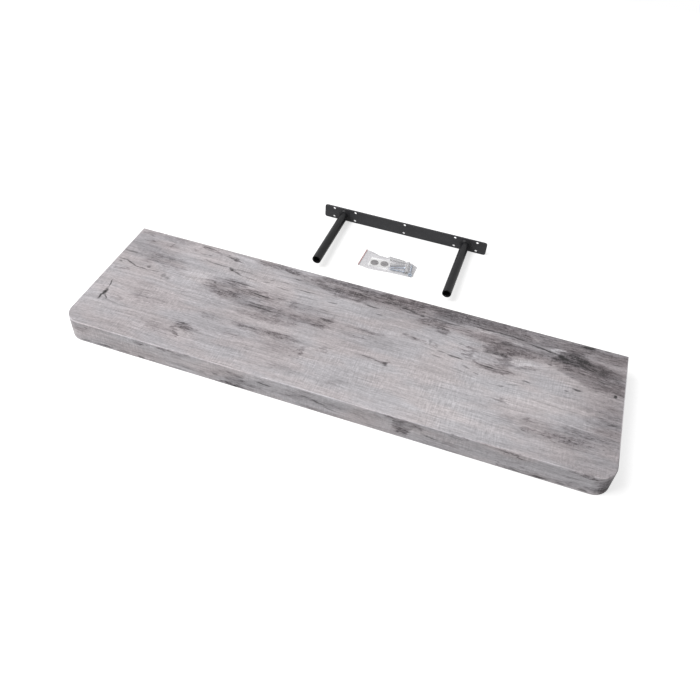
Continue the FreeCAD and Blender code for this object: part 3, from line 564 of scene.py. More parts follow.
TOP_CLOUDS = (
    # smudges and grey clouds of the left third
    (-386, 6, 16, 8, 0, 0.10, 0.8), (-332, 5, 34, 9, 0, 0.08, 0.8), (-370, -11.5, 12, 4, 0, 0.16, 0.7),
    (-332, -12, 9, 4, 0, 0.11, 0.7), (-325, -41, 52, 10, 0, 0.09, 0.8), (-325, -55, 54, 11, 0, 0.11, 0.8),
    (-294, -59, 22, 7, 0, 0.07, 0.9), (-380, -90, 10, 6, 0, 0.11, 0.8), (-322, -107, 52, 8, 0, 0.05, 0.9),
    (-312, -123, 44, 9, 0, 0.05, 0.9), (-325, -138, 20, 8, 0, 0.09, 0.8), (-296, -141, 36, 11, 0, 0.05, 0.9),
    (-350, -153, 9, 8, 0, 0.08, 0.8), (-204, -138, 28, 8, 0, 0.08, 0.8),
    # the mottled block, and the darker bands in front of it
    (-206, -70, 44, 27, 0, 0.09, 0.4), (-200, -57, 26, 9, 0, 0.09, 0.7), (-205, -82, 32, 8, 0, 0.12, 0.7),
    (-232, -77, 12, 15, 0, 0.07, 0.7), (-152, -66, 38, 12, -5, 0.09, 0.7), (-97, -67, 14, 12, 0, 0.08, 0.7),
    (-110, -82, 100, 34, 0, 0.05, 0.4), (-106, -94, 88, 12, 0, 0.08, 0.5), (-142, -92, 30, 8, 0, 0.09, 0.8),
    (-44, -96, 22, 8, 0, 0.12, 0.7), (-38, -80, 17, 6, 0, 0.12, 0.7), (-120, -111, 66, 9, 0, 0.10, 0.6),
    (-108, -138, 72, 11, 0, 0.09, 0.6), (-96, -135, 26, 7, 0, 0.10, 0.7), (-150, -139, 26, 8, 0, 0.08, 0.8),
    (-86, -158, 46, 18, 0, 0.07, 0.7), (-52, -155, 7, 17, 0, 0.12, 0.7), (-25, -141, 7, 13, 0, 0.09, 0.8),
    (-160, -161, 34, 11, 0, 0.06, 0.9),
    # the dark patch near the front, and the faint greys beside it
    (-228, -172, 20, 10, -6, 0.19, 0.6), (-231, -190, 8, 9, -40, 0.16, 0.7), (-240, -181, 9, 7, 0, 0.12, 0.7),
    (-262, -187, 32, 15, -16, 0.06, 0.8), (-65, -194, 36, 9, 0, 0.06, 0.9),
    # the weathered band along the rear edge
    (-276, 8, 17, 4.5, -4, 0.16, 0.7), (-254, 4, 20, 4.5, -10, 0.14, 0.7), (-228, -2, 17, 4, -12, 0.19, 0.7),
    (-292, -6, 12, 3.5, 0, 0.12, 0.7), (-150, 7, 52, 8, -2, 0.15, 0.5), (-122, 4, 26, 5, 0, 0.13, 0.7),
    (-40, 8, 60, 10, 0, 0.15, 0.5), (-74, -6, 24, 7, -24, 0.13, 0.7), (-26, -13, 42, 15, 0, 0.19, 0.5),
    (-219, -28, 9, 5, -30, 0.14, 0.7), (100, 6, 110, 12, 0, 0.08, 0.6), (215, 4, 80, 12, 0, 0.05, 0.6),
    (24, -5, 52, 16, 0, 0.13, 0.6), (80, -10, 40, 10, 0, 0.08, 0.7), (117, -24, 36, 13, 0, 0.13, 0.5),
    (128, -37, 14, 9, 0, 0.13, 0.6), (185, -27, 60, 12, 0, 0.10, 0.6), (240, -33, 52, 15, 0, 0.09, 0.6),
    (235, -42, 46, 9, 0, 0.07, 0.7),
    # the crescent and its ring, the dark knot and the fan behind it
    (222, -48, 26, 8, 0, 0.12, 0.7), (229, -68, 13, 29, 6, 0.13, 0.6), (204, -52, 12, 12, 0, 0.08, 0.7),
    (176, -61, 13, 7, 28, 0.15, 0.7), (174, -72, 8, 8, 0, 0.15, 0.7), (188, -81, 11, 6, -30, 0.14, 0.7),
    (212, -87, 32, 7, -5, 0.15, 0.6), (260, -66, 24, 5, 20, 0.13, 0.8), (325, -20, 32, 22, 0, 0.13, 0.6),
    (340, -32, 56, 22, -14, 0.08, 0.6), (344, 8, 50, 7, 0, 0.07, 0.7),
    # streaks, the round knot and the brown clouds of the right half
    (96, -67, 16, 6, -8, 0.13, 0.7), (79, -67, 8, 6, 0, 0.13, 0.8), (122, -69, 6, 10, 0, 0.10, 0.8),
    (26, -80, 36, 5, -2, 0.13, 0.7), (14, -97, 24, 4, 0, 0.09, 0.9), (68, -134, 9, 11, 0, 0.17, 0.7),
    (40, -131, 26, 6, 0, 0.06, 0.9), (315, -172, 90, 26, 0, 0.06, 0.8), (281, -160, 12, 7, 0, 0.09, 0.8),
    (345, -159, 36, 8, 0, 0.09, 0.8), (278, -178, 14, 7, 0, 0.11, 0.8), (313, -177, 30, 9, 0, 0.11, 0.7),
    (345, -176, 28, 14, 0, 0.10, 0.7), (247, -168, 20, 8, 0, 0.05, 0.9), (382, -126, 34, 54, 0, 0.06, 0.8),
    (12, -196, 20, 16, 0, 0.05, 0.9), (235, -140, 12, 4, 0, 0.12, 0.8),
    # pale blotches and flecks
    (101, -2, 15, 11, 0, -0.16, 0.8), (265, 0, 14, 8, 0, -0.15, 0.8), (300, -11, 13, 5, 0, -0.16, 0.8),
    (351, -5, 17, 7, 0, -0.12, 0.8), (257, -56, 20, 12, 15, -0.08, 0.8), (300, -36, 36, 20, -20, 0.10, 0.8),
    (199, -12, 32, 4, 0, -0.13, 0.8), (242, -19, 26, 4, -6, -0.10, 0.8), (188, -71, 8, 6, 0, -0.06, 0.8),
    (-222, -186, 12, 7, 0, -0.04, 0.8), (-113, -70, 12, 6, 0, -0.06, 0.9),
)
TOP_LINES = (
    # the vein at the left end, and the crack-shaped knot in front of it
    (-388, -69, 12, 1.8, 0, 0.22, 0.7), (-372, -73, 14, 1.8, -20, 0.28, 0.7),
    (-352, -78, 18, 1.7, -6, 0.27, 0.7), (-328, -77, 16, 1.5, 5, 0.22, 0.7), (-390, -75, 5, 3, 0, 0.2, 0.7),
    (-342, -71, 5, 5, 0, 0.18, 0.7), (-311, -81, 6, 7, 0, 0.13, 0.7), (-303, -85, 6, 6, 0, 0.12, 0.7),
    (-385, -47.5, 18, 2, 0, 0.14, 0.7), (-376, -128, 13, 1.4, -80, 0.42, 0.9),
    (-373, -146, 11, 4.8, -84, 0.42, 0.9), (-372, -152, 6, 4.4, -70, 0.2, 0.9),
    (-374.5, -158.5, 9, 2.8, 84, 0.45, 0.9), (-366, -157, 7, 1.6, -54, 0.38, 0.9),
    # broken cracks along the rear edge of the left half
    (-277, 8, 14, 2.2, -5, 0.16, 0.7), (-229, -2, 17, 2.2, -11, 0.16, 0.7),
    (-277, -9.5, 9, 2.2, 0, 0.14, 0.7), (-266, -9.5, 6, 2.4, 0, 0.18, 0.7),
    (-262, -22, 12, 1.8, -12, 0.14, 0.7), (-240, -24.5, 22, 1.8, 0, 0.18, 0.7),
    (-199, -24.5, 22, 2, 0, 0.14, 0.7), (-220, -27, 7, 3.6, -44, 0.24, 0.7),
    (-207, -32.5, 16, 2.2, -16, 0.22, 0.7), (-181, -37, 19, 1.6, -5, 0.16, 0.7),
    (-157, -35.5, 10, 1.6, 10, 0.16, 0.7), (-149, -28, 6, 1.5, 10, 0.13, 0.7),
    (-126, -39.5, 16, 1.7, -2, 0.18, 0.7), (-89, -32, 28, 1.7, 1, 0.21, 0.7),
    (-88, -45, 30, 1.5, 2, 0.13, 0.7), (-44, -41, 11, 1.9, 0, 0.19, 0.7), (-128, -25, 8, 1.5, 0, 0.14, 0.7),
    (-112, -10, 8, 1.7, -6, 0.18, 0.7), (-190, -53, 30, 1.7, -3, 0.14, 0.7), (-170, -62, 15, 2, 0, 0.17, 0.7),
    (-150, -67, 26, 1.9, -5, 0.24, 0.7), (-143, -63.5, 16, 1.3, -4, -0.12, 0.7),
    (-120, -62, 12, 1.8, 4, 0.16, 0.7), (-50, -62, 15, 1.8, 0, 0.14, 0.7), (-38, -81, 14, 2.2, 0, 0.14, 0.7),
    (-130, -87, 30, 1.6, 1, 0.1, 0.7), (-272, -104, 34, 1.6, 7, 0.09, 0.7), (-230, -66, 4, 3, 0, 0.16, 0.7),
    (-230, -165, 12, 2, 8, 0.14, 0.7),
    # the two strands of the long crack, which end in the dark knot
    (307, -24, 11, 7.5, -12, 0.24, 0.9), (304, -23, 7, 5, 0, 0.1, 0.9), (316, -27, 8, 5, -20, 0.08, 0.8),
    (240, -10, 20, 1.7, -8, 0.2, 0.8), (272, -17, 24, 1.8, -8, 0.26, 0.7),
    (290, -20, 14, 2.2, -10, 0.24, 0.7), (196, -9, 30, 1.6, 2, 0.18, 0.7), (222, -8.5, 18, 1.8, 0, 0.16, 0.7),
    (14, -26, 18, 2.2, -6, 0.22, 0.7), (72, -12, 22, 2, -9, 0.18, 0.7), (93, -17, 6, 3, 0, 0.28, 0.7),
    (140, -16.5, 40, 1.5, -3, 0.13, 0.7), (342, 10, 12, 3.4, 4, 0.3, 0.7),
    # dashes, specks and the arcs in front of the crescent
    (31, -38.5, 7, 2.2, 0, 0.22, 0.7), (96, -67, 13, 2, -8, 0.18, 0.7), (78, -65, 6, 3.2, 20, 0.14, 0.7),
    (118, -67, 3, 7, 10, 0.12, 0.7), (138, -80, 9, 2.2, -4, 0.2, 0.7), (158, -82.5, 16, 2.4, -4, 0.3, 0.7),
    (133, -91, 12, 2, -2, 0.15, 0.7), (162, -53, 6, 2, 0, 0.16, 0.7), (178, -96, 9, 1.8, -14, 0.18, 0.7),
    (194, -103, 6, 1.7, -14, 0.18, 0.7), (207, -84, 15, 2.2, -3, 0.22, 0.7),
    (264, -92, 10, 2.4, -4, 0.22, 0.7), (246, -105, 10, 1.7, 8, 0.14, 0.7),
    (228, -114, 34, 1.4, 1, 0.12, 0.7), (178, -108, 34, 1.3, -14, 0.08, 0.7), (232, -114, 6, 2, 4, 0.1, 0.7),
    (335, -81, 9, 2.4, 0, 0.3, 0.7), (320, -89, 5, 1.8, 0, 0.18, 0.7), (387, -74, 3, 3, 0, 0.4, 0.7),
    (387, -128, 13, 1.7, 10, 0.16, 0.7), (292, -46, 5, 2.6, 0, 0.22, 0.7), (46, -130, 26, 1.6, -4, 0.13, 0.7),
    (234, -140, 10, 1.8, 0, 0.12, 0.7), (68, -134, 5, 7, 0, 0.14, 0.9),
)
# On the band round the edge, a place is the distance round from the middle of the front, and the height.
BAND_BROAD_AND_CORNER_LIGHT = (
    # the first two are light, not print: a dark cloud round the right corner is painted shade, where it turns
    # away from the lamp, and a paler left corner is painted light, where it turns towards it
    (413, 19, 38, 46, 0, 0.31, 0.6), (-394, 19, 14, 40, 0, -0.03, 0.9), (250, 30, 150, 10, 0, 0.04, 1),
    (0, 18, 200, 18, 0, 0.03, 1),
)
BAND_CLOUDS = (
    (-274, 32, 14, 5, 8, 0.22, 0.6), (-230, 35, 15, 3, -4, 0.16, 0.7), (-365, 31, 8, 4, 0, 0.12, 0.7),
    (-228, 15, 5, 3, 0, 0.08, 0.8), (-132, 27, 20, 6, 0, 0.12, 0.8), (-128, 9, 20, 13, 0, 0.11, 0.7),
    (-131, 4, 22, 4, 0, 0.13, 0.8), (-118, 14, 9, 8, 0, 0.10, 0.8), (-158, 16, 5, 4, 0, 0.09, 0.8),
    (-64, 16, 5, 6, 0, 0.11, 0.8), (-38, 17, 22, 8, 0, 0.07, 0.8), (84, 29, 12, 4, 0, 0.10, 0.8),
    (130, 33, 44, 5, 0, 0.09, 0.7), (119, 19, 15, 15, 28, 0.16, 0.7), (120, 14, 6, 8, 40, 0.14, 0.7),
    (137, 27, 14, 6, 0, 0.12, 0.8), (193, 33, 12, 4, 0, 0.15, 0.7), (212, 15, 12, 7, 0, 0.07, 0.9),
    (262, 33, 9, 4, 0, 0.18, 0.7), (278, 32, 8, 4, 0, 0.19, 0.7), (260, 9, 6, 7, 0, 0.13, 0.8),
    (366, 33, 15, 5, 6, 0.20, 0.6), (384, 24, 12, 12, 0, 0.08, 0.8), (392, 4, 16, 4, 0, 0.10, 0.8),
)
BAND_LINES = (
    (-334, 4.5, 19, 2.6, 2, 0.27, 0.7), (-366, 4, 12, 2.4, 0, 0.18, 0.7), (-301, 4.5, 13, 2.2, 0, 0.15, 0.7),
    (-275, 3.5, 8, 3, -8, 0.24, 0.7), (-255, 3, 8, 2.2, 0, 0.16, 0.7), (-213, 3, 24, 2.2, 0, 0.08, 0.7),
    (-176, 12, 6, 3.4, 0, 0.1, 0.7), (-156, 15.5, 6, 2.4, 0, 0.12, 0.7), (-80, 24, 20, 2.2, 0, 0.26, 0.7),
    (-118, 24, 14, 2.2, 0, 0.17, 0.7), (-103, 11.5, 11, 1.8, 0, 0.12, 0.7), (-120, 3, 12, 2.4, 0, 0.14, 0.7),
    (-20, 24, 10, 2.2, 0, 0.17, 0.7), (1, 19.5, 15, 2.2, -14, 0.2, 0.7), (18, 13, 16, 2.2, -9, 0.17, 0.7),
    (160, 17.5, 15, 1.9, -7, 0.21, 0.7), (276, 4, 11, 2.4, 0, 0.17, 0.7), (309, 4.2, 17, 2.4, 0, 0.31, 0.7),
    (336, 4.4, 8, 2, 0, 0.17, 0.7), (366, 4.2, 9, 2.6, 0, 0.26, 0.7), (57, 29, 12, 2, 0, 0.08, 0.7),
)
# Where the grain bends round the knots: features as above, whose depth is how far the grain's lines move.
GRAIN_BENDS = (
    (215, -75, 150, 60, 0, 13.0, 1), (-372, -147, 40, 34, 0, -7.0, 1), (68, -134, 34, 18, 0, 4.0, 1),
    (-120, -60, 120, 50, 0, 5.0, 1), (320, -30, 70, 50, 0, -9.0, 1),
)
# A painted highlight makes the band paler along its top edge, where it catches the light: how far below the
# top that starts and is full, and by how much.
TOP_EDGE_HIGHLIGHT_START = 1.8
TOP_EDGE_HIGHLIGHT_FULL = 0.6
TOP_EDGE_HIGHLIGHT_PALER = 0.10
DARKEST_INK = 0.17


def decor(name, level, broad=(), clouds=(), lines=(), bends=(), wild=0.0, on_band=False):
    """The print: grain along the board, saw marks across it, clouds and cracks, and on the band painted light
    too.

    Level is the mean display level, and wild is the strength of clouds that drift in by themselves.
    """
    shader = Shader(name)
    x, y, z = shader.split(shader.place())
    if on_band:
        x, y = round_the_edge(shader, x, y), z
    flat = shader.join(x, y)

    def wobble(amount_along, amount_across, size, seed):
        along = shader.centred(shader.noise(flat, size, seed), amount_along)
        across = shader.centred(shader.noise(flat, size, seed + 5.0), amount_across)
        return shader.join(along, across)

    ragged = shader.vector("ADD", flat, wobble(26.0, 8.0, (24.0, 8.0, 1.0), 3.0))
    ragged = shader.vector("ADD", ragged, wobble(9.0, 3.5, (6.0, 2.6, 1.0), 11.0))
    broken = shader.vector("ADD", flat, wobble(3.0, 2.4, (11.0, 6.0, 1.0), 21.0))
    drift = shader.centred(shader.noise(flat, (120.0, 40.0, 1.0), 31.0, 1.0), 7.0)
    bend = shader.math("ADD", shader.spots(flat, bends), drift)
    grain = shader.join(x, shader.math("ADD", y, bend))

    bands = shader.noise(grain, (110.0, 7.0, 1.0), 43.0)
    rings = shader.noise(grain, (240.0, 3.4, 1.0), 45.0, 1.0)
    streaks = shader.noise(grain, (38.0, 2.0, 1.0), 47.0, 3.0, 0.6)
    hatch = shader.noise(flat, (1.9, 15.0, 1.0), 53.0, 2.0)
    hatched = shader.ramp(shader.noise(flat, (60.0, 45.0, 1.0), 59.0, 1.0), 0.38, 0.66, 0.3, 1.0)
    flecks = shader.noise(flat, (4.6, 2.0, 1.0), 61.0, 3.0, 0.7)
    dashes = shader.ramp(shader.noise(grain, (15.0, 1.5, 1.0), 79.0, 2.0), 0.60, 0.74)
    chips = shader.ramp(shader.noise(broken, (5.0, 2.0, 1.0), 97.0, 2.0), 0.60, 0.70)

    # clouds are made of streaks and saw marks, and so are ragged at their edges
    mottle = shader.noise(grain, (13.0, 2.8, 1.0), 67.0, 3.0, 0.65)
    weave = shader.math("ADD", shader.math("MULTIPLY", mottle, 0.64), shader.math("MULTIPLY", hatch, 0.36))
    texture = shader.ramp(weave, 0.36, 0.62, 0.4, 1.5)
    cloud = shader.math("MULTIPLY", shader.spots(ragged, clouds), texture)
    if wild:
        drifting = shader.noise(ragged, (85.0, 17.0, 1.0), 83.0, 3.0, 0.6)
        drifted = shader.math("MULTIPLY", shader.ramp(drifting, 0.48, 0.72, 0.0, wild), texture)
        cloud = shader.math("ADD", cloud, drifted)
    soft = shader.math("MULTIPLY", shader.spots(ragged, broad), shader.ramp(weave, 0.34, 0.64, 0.7, 1.25))
    dark = shader.math("ADD", cloud, soft)
    crack = shader.math("MULTIPLY", shader.spots(broken, lines), shader.ramp(flecks, 0.3, 0.62, 0.65, 1.25))
    # short dark dashes and chips, faint on the pale wood and strong in the clouds
    dash_strength = shader.math("MULTIPLY_ADD", dark, 0.55, 0.045)
    dash = shader.math("MULTIPLY", shader.math("ADD", dashes, chips), dash_strength)

    tone = shader.math("SUBTRACT", level, shader.math("ADD", shader.math("ADD", dark, crack), dash))
    tone = shader.varied(tone, (bands, 0.065), (rings, 0.075), (streaks, 0.130), (flecks, 0.130))
    tone = shader.math("ADD", tone, shader.math("MULTIPLY", shader.centred(hatch, 0.125), hatched))
    # painted highlight: the band is paler along its top edge, where it catches the light
    if on_band:
        top = BOARD_HIGH.z / MM
        tone = shader.math("ADD", tone, shader.ramp(z, top - TOP_EDGE_HIGHLIGHT_START, top - TOP_EDGE_HIGHLIGHT_FULL, 0.0, TOP_EDGE_HIGHLIGHT_PALER))
    tone = shader.math("MAXIMUM", tone, DARKEST_INK)

    # the print drifts between a warm and a cool grey, and its clouds are a little brown
    warmth = shader.ramp(shader.noise(flat, (80.0, 30.0, 1.0), 71.0, 2.0), 0.35, 0.65)
    red = shader.math("MULTIPLY_ADD", warmth, 0.020, 0.997)
    blue = shader.math("MULTIPLY_ADD", warmth, -0.010, 1.001)
    green = shader.math("MULTIPLY_ADD", dark, -0.08, 0.981)
    blue = shader.math("SUBTRACT", blue, shader.math("MULTIPLY", dark, 0.05))
    shader.look(tone, (red, green, blue), shader.math("MULTIPLY_ADD", flecks, 0.14, 0.46), 0.35)
    relief = shader.math("SUBTRACT", shader.math("MULTIPLY_ADD", flecks, 0.5, streaks), dashes)
    shader.bump(relief, 0.0002, 0.3)
    return shader.material


def round_the_edge(shader, x, y):
    """How far round the board's edge a point lies from the middle of its front, in millimetres."""
    radius = CORNER_RADIUS
    straight = BOARD_HIGH.x / MM - radius
    corner_y = BOARD_LOW.y / MM + radius
    away = shader.math("ABSOLUTE", x)
    past_end = shader.math("MAXIMUM", shader.math("SUBTRACT", away, straight), 0.0)
    before_side = shader.math("MAXIMUM", shader.math("SUBTRACT", corner_y, y), 0.0)
    angle = shader.math("ARCTAN2", past_end, before_side)
    along_side = shader.math("MAXIMUM", shader.math("SUBTRACT", y, corner_y), 0.0)
    run = shader.math("MULTIPLY_ADD", angle, radius, shader.math("MINIMUM", away, straight))
    return shader.math("MULTIPLY", shader.math("ADD", run, along_side), shader.math("SIGN", x))


# --- The other finishes


def fibreboard():
    """Raw fibreboard: pressed brown fibres, paler in its core, with a soft nap."""
    shader = Shader("fibreboard")
    point = shader.place()
    fibres = shader.noise(point, (2.6, 1.1, 0.5), 3.0, 4.0, 0.7)
    specks = shader.noise(point, (0.7, 0.7, 0.4), 9.0, 2.0)
    patches = shader.noise(point, (24.0, 18.0, 6.0), 15.0, 2.0)
    tone = shader.varied(0.73, (fibres, 0.11), (specks, 0.10), (patches, 0.05))
    shader.look(tone, (1.06, 0.93, 0.77), 0.92, 0.2)
    shader.bump(shader.math("ADD", fibres, specks), 0.0003, 0.5)
    return shader.material


def kraft_paper():
    """Brown kraft paper with soft fibres."""
    shader = Shader("kraft_paper")
    point = shader.place()
    fibres = shader.noise(point, (5.0, 5.0, 0.6), 4.0, 3.0, 0.65)
    shader.look(shader.varied(0.74, (fibres, 0.12)), (1.05, 0.92, 0.76), 0.85)
    shader.bump(fibres, 0.0002, 0.4)
    return shader.material


def powder_coat(name, level, gloss):
    """Satin black powder coat at a display level: fine orange peel, and dust that pales it in patches."""
    shader = Shader(name)
    point = shader.place()
    peel = shader.noise(point, (1.3, 1.3, 1.3), 5.0, 2.0)
    fine = shader.noise(point, (0.45, 0.45, 0.45), 8.0, 1.0)
    dust = shader.noise(point, (38.0, 20.0, 14.0), 12.0, 3.0, 0.6)
    tone = shader.varied(level, (dust, 0.04), (fine, 0.02))
    shader.look(tone, (0.99, 0.99, 1.03), shader.math("MULTIPLY_ADD", dust, 0.12, 0.26), gloss)
    shader.bump(shader.math("MULTIPLY_ADD", fine, 0.35, peel), 0.0001, 0.3)
    return shader.material


def zinc_plate():
    """Bright zinc: bluish metal with faint drawn streaks and dull spots."""
    shader = Shader("zinc_plate")
    point = shader.place()
    spots = shader.noise(point, (2.2, 2.2, 2.2), 6.0, 3.0, 0.6)
    streaks = shader.noise(point, (0.3, 5.0, 0.3), 11.0, 2.0)
    tone = shader.varied(0.76, (spots, 0.06), (streaks, 0.05))
    shader.look(tone, (0.95, 1.0, 1.06), shader.math("MULTIPLY_ADD", spots, 0.2, 0.28))
    shader.surface.inputs["Metallic"].default_value = 1.0
    shader.bump(streaks, 0.00005, 0.3)
    return shader.material


def nylon():
    """White moulded nylon with faint flow marks."""
    shader = Shader("nylon")
    flow = shader.noise(shader.place(), (5.0, 5.0, 5.0), 7.0, 2.0)
    shader.look(shader.varied(0.93, (flow, 0.03)), (0.995, 1.0, 1.0), 0.42)
    shader.bump(flow, 0.0001, 0.2)
    return shader.material


def over_card(shader, point):
    """1 above the backing sheet, where the film lies against it, and 0 past its edges."""
    low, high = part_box("cover_disc_sheet")
    inside = 1.0
    for here, start, end in zip(shader.split(point)[:2], low / MM, high / MM):
        from_middle = shader.math("ABSOLUTE", shader.math("SUBTRACT", here, (start + end) / 2.0))
        reach = (end - start) / 2.0
        inside = shader.math("MULTIPLY", inside, shader.ramp(from_middle, reach - 1.0, reach + 0.5, 1.0, 0.0))
    return inside


def clear_film():
    """Thin polyethylene: nearly clear face on, clearest on the card, and hazier where it turns away."""
    shader = Shader("clear_film")
    point = shader.place()
    haze = shader.noise(point, (9.0, 6.0, 9.0), 13.0, 2.0, 0.5)
    pulled = shader.noise(point, (3.5, 11.0, 5.0), 17.0, 1.0)
    turned_away = shader.add("LayerWeight", {"Blend": 0.35}).outputs["Facing"]
    cover = shader.math("MULTIPLY_ADD", turned_away, 0.36, shader.math("MULTIPLY_ADD", haze, 0.14, 0.15))
    clearing = shader.math("MULTIPLY_ADD", over_card(shader, point), -0.65, 1.0)
    shader.feed(shader.surface.inputs["Alpha"], shader.math("MULTIPLY", cover, clearing, clamp=True))
    shader.surface.inputs["Base Color"].default_value = (0.44, 0.42, 0.46, 1.0)
    shader.feed(shader.surface.inputs["Roughness"], shader.math("MULTIPLY_ADD", haze, 0.2, 0.14))
    shader.surface.inputs["IOR"].default_value = 1.51
    shader.surface.inputs["Specular IOR Level"].default_value = 0.7
    shader.bump(shader.math("MULTIPLY_ADD", pulled, 0.5, haze), 0.0003, 0.3)
    return shader.material


def zip_strip():
    """The press seal: a clear rib with a thin red line along its middle."""
    shader = Shader("zip_strip")
    point = shader.place()
    along_bag = (math.cos(BAG_TURN), math.sin(BAG_TURN), 0.0)
    from_middle = shader.vector("SUBTRACT", point, tuple(BAG_MIDDLE / MM))
    along = shader.vector("DOT_PRODUCT", from_middle, along_bag)
    off_line = shader.math("ABSOLUTE", shader.math("SUBTRACT", along, ZIP_LINE_PLACE))
    line = shader.ramp(off_line, ZIP_LINE_HALF_WIDTH - 0.1, ZIP_LINE_HALF_WIDTH + 0.1, 1.0, 0.0)
    pressed = shader.noise(point, (3.0, 2.0, 3.0), 14.0, 2.0)
    tone = shader.math("MULTIPLY_ADD", line, -0.10, shader.varied(0.80, (pressed, 0.06)))
    # along the line, green and blue fade and leave a muted red
    fade = shader.math("MULTIPLY_ADD", line, -0.45, 1.0)
    green_blue = shader.math("MULTIPLY", fade, 0.98)
    shader.look(tone, (0.98, green_blue, green_blue), 0.3)
    shader.feed(shader.surface.inputs["Alpha"], shader.math("MULTIPLY_ADD", line, 0.75, 0.25))
    shader.bump(pressed, 0.0002, 0.3)
    return shader.material


def card():
    """White release paper with a faint waxed sheen."""
    shader = Shader("card")
    fibres = shader.noise(shader.place(), (1.6, 1.6, 1.6), 16.0, 3.0, 0.65)
    shader.look(shader.varied(0.98, (fibres, 0.02)), (1.0, 1.0, 0.995), 0.5)
    shader.bump(fibres, 0.00005, 0.2)
    return shader.material


def decor_stickers():
    """The cover stickers: the board's decor at a small scale, darker and plain."""
    shader = Shader("decor_stickers")
    point = shader.place()
    grain = shader.noise(point, (9.0, 0.9, 1.0), 18.0, 3.0, 0.6)
    patch = shader.noise(point, (6.0, 3.0, 1.0), 19.0, 2.0)
    shader.look(shader.varied(0.59, (grain, 0.18), (patch, 0.20)), (1.0, 0.985, 0.985), 0.5)
    shader.bump(grain, 0.0001, 0.2)
    return shader.material


def dress(material, *items):
    """Gives CAD nodes, by name, and new pieces their material."""
    for item in items:
        mesh = (nodes[item] if isinstance(item, str) else item).data
        mesh.materials.clear()
        mesh.materials.append(material)


dress(decor("decor_top", 0.734, TOP_BROAD, TOP_CLOUDS, TOP_LINES, GRAIN_BENDS), "top_foil")
dress(decor("decor_band_with_painted_light", 0.72, BAND_BROAD_AND_CORNER_LIGHT, BAND_CLOUDS, BAND_LINES, wild=0.13, on_band=True), "edge_band")
dress(decor("decor_underside", 0.72, wild=0.22), "bottom_foil")
dress(fibreboard(), "top_skin", "bottom_skin", "front_rail", "rear_rail", "left_end_rail", "right_end_rail",
      "tube_block_left", "tube_block_right")
dress(kraft_paper(), "honeycomb_left", "honeycomb_middle", "honeycomb_right")
# One satin black coat in two copies: the plate's is set paler and glossier as painted light, and the one on
# the tubes and weld beads darker and duller as painted shade for their shaded sides and the shade at their
# roots.
dress(powder_coat("plate_coat_lit", 0.255, 0.25), "wall_plate")
dress(powder_coat("tube_coat_shaded", 0.155, 0.17), "support_tube_left", "support_tube_right", "weld_bead_left",
      "weld_bead_right")
dress(zinc_plate(), "insert_nut_left", "insert_nut_right", "locking_screw_left", "locking_screw_right",
      *screws)
dress(nylon(), *plugs)
dress(clear_film(), bag)
dress(zip_strip(), "bag_zip")
dress(card(), "cover_disc_sheet")
dress(decor_stickers(), "cover_discs")


# --- Stage, light and camera


# The floor lies just below the object. It glows for the camera, and less for mirrored and transmitted rays.
FLOOR_SIZE = 3.2
FLOOR_PLACE = (0.0, 0.0, -0.0002)
FLOOR_SHADE = 0.75
FLOOR_GLOW = 0.58
MIRRORED_GLOW = 0.2

# The shares of a level white surface's light that the sky and the key lamp give.
SKY_SHARE = 0.42
KEY_SHARE = 0.58
KEY_DIRECTION = (-0.70, -0.36, 1.0)
KEY_DISTANCE = 2.8
KEY_SIZE = 1.9

# The camera at the photograph's viewing angle: lens and sensor in millimetres, turn in degrees.
LENS_LENGTH = 37.156
SENSOR_WIDTH = 36.0
CAMERA_PLACE = (0.20668, -0.82447, 0.78521)
CAMERA_TURN = (44.0351, -3.2157, 18.7951)


def seen_by(tree, *kinds):
    """1 for rays of these kinds, such as those from the camera, and 0 for those that light the object."""
    path = tree.nodes.new("ShaderNodeLightPath")
    total = path.outputs[kinds[0]]
    for kind in kinds[1:]:
        either = tree.nodes.new("ShaderNodeMath")
        either.operation = "MAXIMUM"
        tree.links.new(total, either.inputs[0])
        tree.links.new(path.outputs[kind], either.inputs[1])
        total = either.outputs[0]
    return total


def scaled_by(tree, value, factor, offset=0.0):
    node = tree.nodes.new("ShaderNodeMath")
    node.operation = "MULTIPLY_ADD"
    tree.links.new(value, node.inputs[0])
    node.inputs[1].default_value = factor
    if isinstance(offset, bpy.types.NodeSocket):
        tree.links.new(offset, node.inputs[2])
    else:
        node.inputs[2].default_value = offset
    return node.outputs[0]


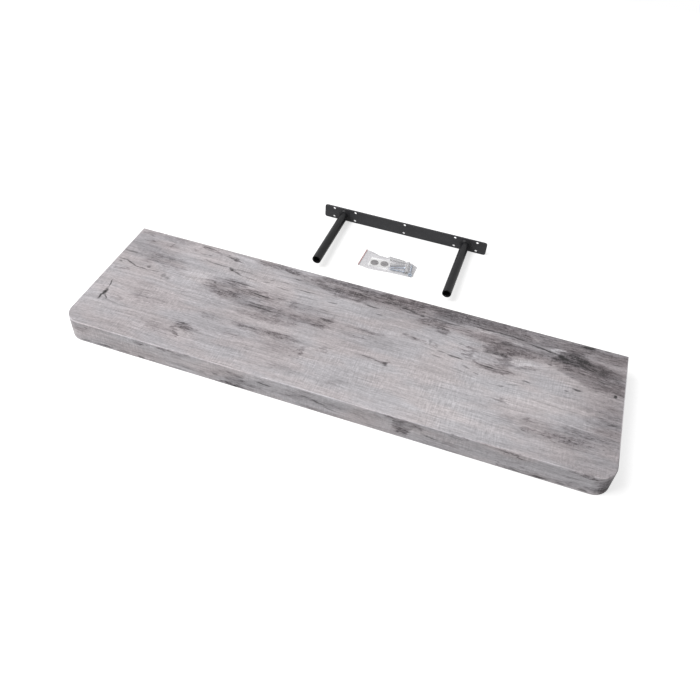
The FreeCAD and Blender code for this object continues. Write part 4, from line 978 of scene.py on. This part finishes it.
def stage():
    """A white floor that keeps the object's shadow, and is pure white where nothing shades it."""
    bpy.ops.mesh.primitive_plane_add(size=FLOOR_SIZE, location=FLOOR_PLACE)
    floor = bpy.context.object
    floor.name = "floor"
    material = bpy.data.materials.new("floor_white")
    material.use_nodes = True
    tree = material.node_tree
    surface = tree.nodes["Principled BSDF"]
    surface.inputs["Base Color"].default_value = (FLOOR_SHADE, FLOOR_SHADE, FLOOR_SHADE, 1.0)
    surface.inputs["Roughness"].default_value = 0.9
    surface.inputs["Specular IOR Level"].default_value = 0.0
    surface.inputs["Emission Color"].default_value = (1.0, 1.0, 1.0, 1.0)
    mirrored = scaled_by(tree, seen_by(tree, "Is Glossy Ray", "Is Transmission Ray"), MIRRORED_GLOW)
    glow = scaled_by(tree, seen_by(tree, "Is Camera Ray"), FLOOR_GLOW, mirrored)
    tree.links.new(glow, surface.inputs["Emission Strength"])
    floor.data.materials.append(material)


def world():
    """A white sky: full white where it is seen, and a part of the light on the object."""
    sky = bpy.data.worlds.new("studio")
    sky.use_nodes = True
    tree = sky.node_tree
    background = tree.nodes["Background"]
    background.inputs["Color"].default_value = (1.0, 1.0, 1.0, 1.0)
    mirrored = seen_by(tree, "Is Camera Ray", "Is Glossy Ray", "Is Transmission Ray")
    strength = scaled_by(tree, mirrored, 1.0 - SKY_SHARE, SKY_SHARE)
    tree.links.new(strength, background.inputs["Strength"])
    bpy.context.scene.world = sky


def key_lamp():
    """A square soft box that gives a white level surface its share of the light."""
    away = Vector(KEY_DIRECTION).normalized()
    lamp = bpy.data.lights.new("key", "AREA")
    lamp.shape = "SQUARE"
    lamp.size = KEY_SIZE
    lamp.energy = KEY_SHARE * math.pi ** 2 * KEY_DISTANCE ** 2 / away.z
    item = bpy.data.objects.new("key", lamp)
    item.location = away * KEY_DISTANCE
    item.rotation_euler = away.to_track_quat("Z", "Y").to_euler()
    bpy.context.scene.collection.objects.link(item)


def camera():
    lens = bpy.data.cameras.new("camera")
    lens.lens = LENS_LENGTH
    lens.sensor_width = SENSOR_WIDTH
    item = bpy.data.objects.new("camera", lens)
    item.location = CAMERA_PLACE
    item.rotation_euler = Euler([math.radians(angle) for angle in CAMERA_TURN], "XYZ")
    bpy.context.scene.collection.objects.link(item)
    bpy.context.scene.camera = item


stage()
world()
key_lamp()
camera()
bpy.context.scene.view_settings.view_transform = "Standard"
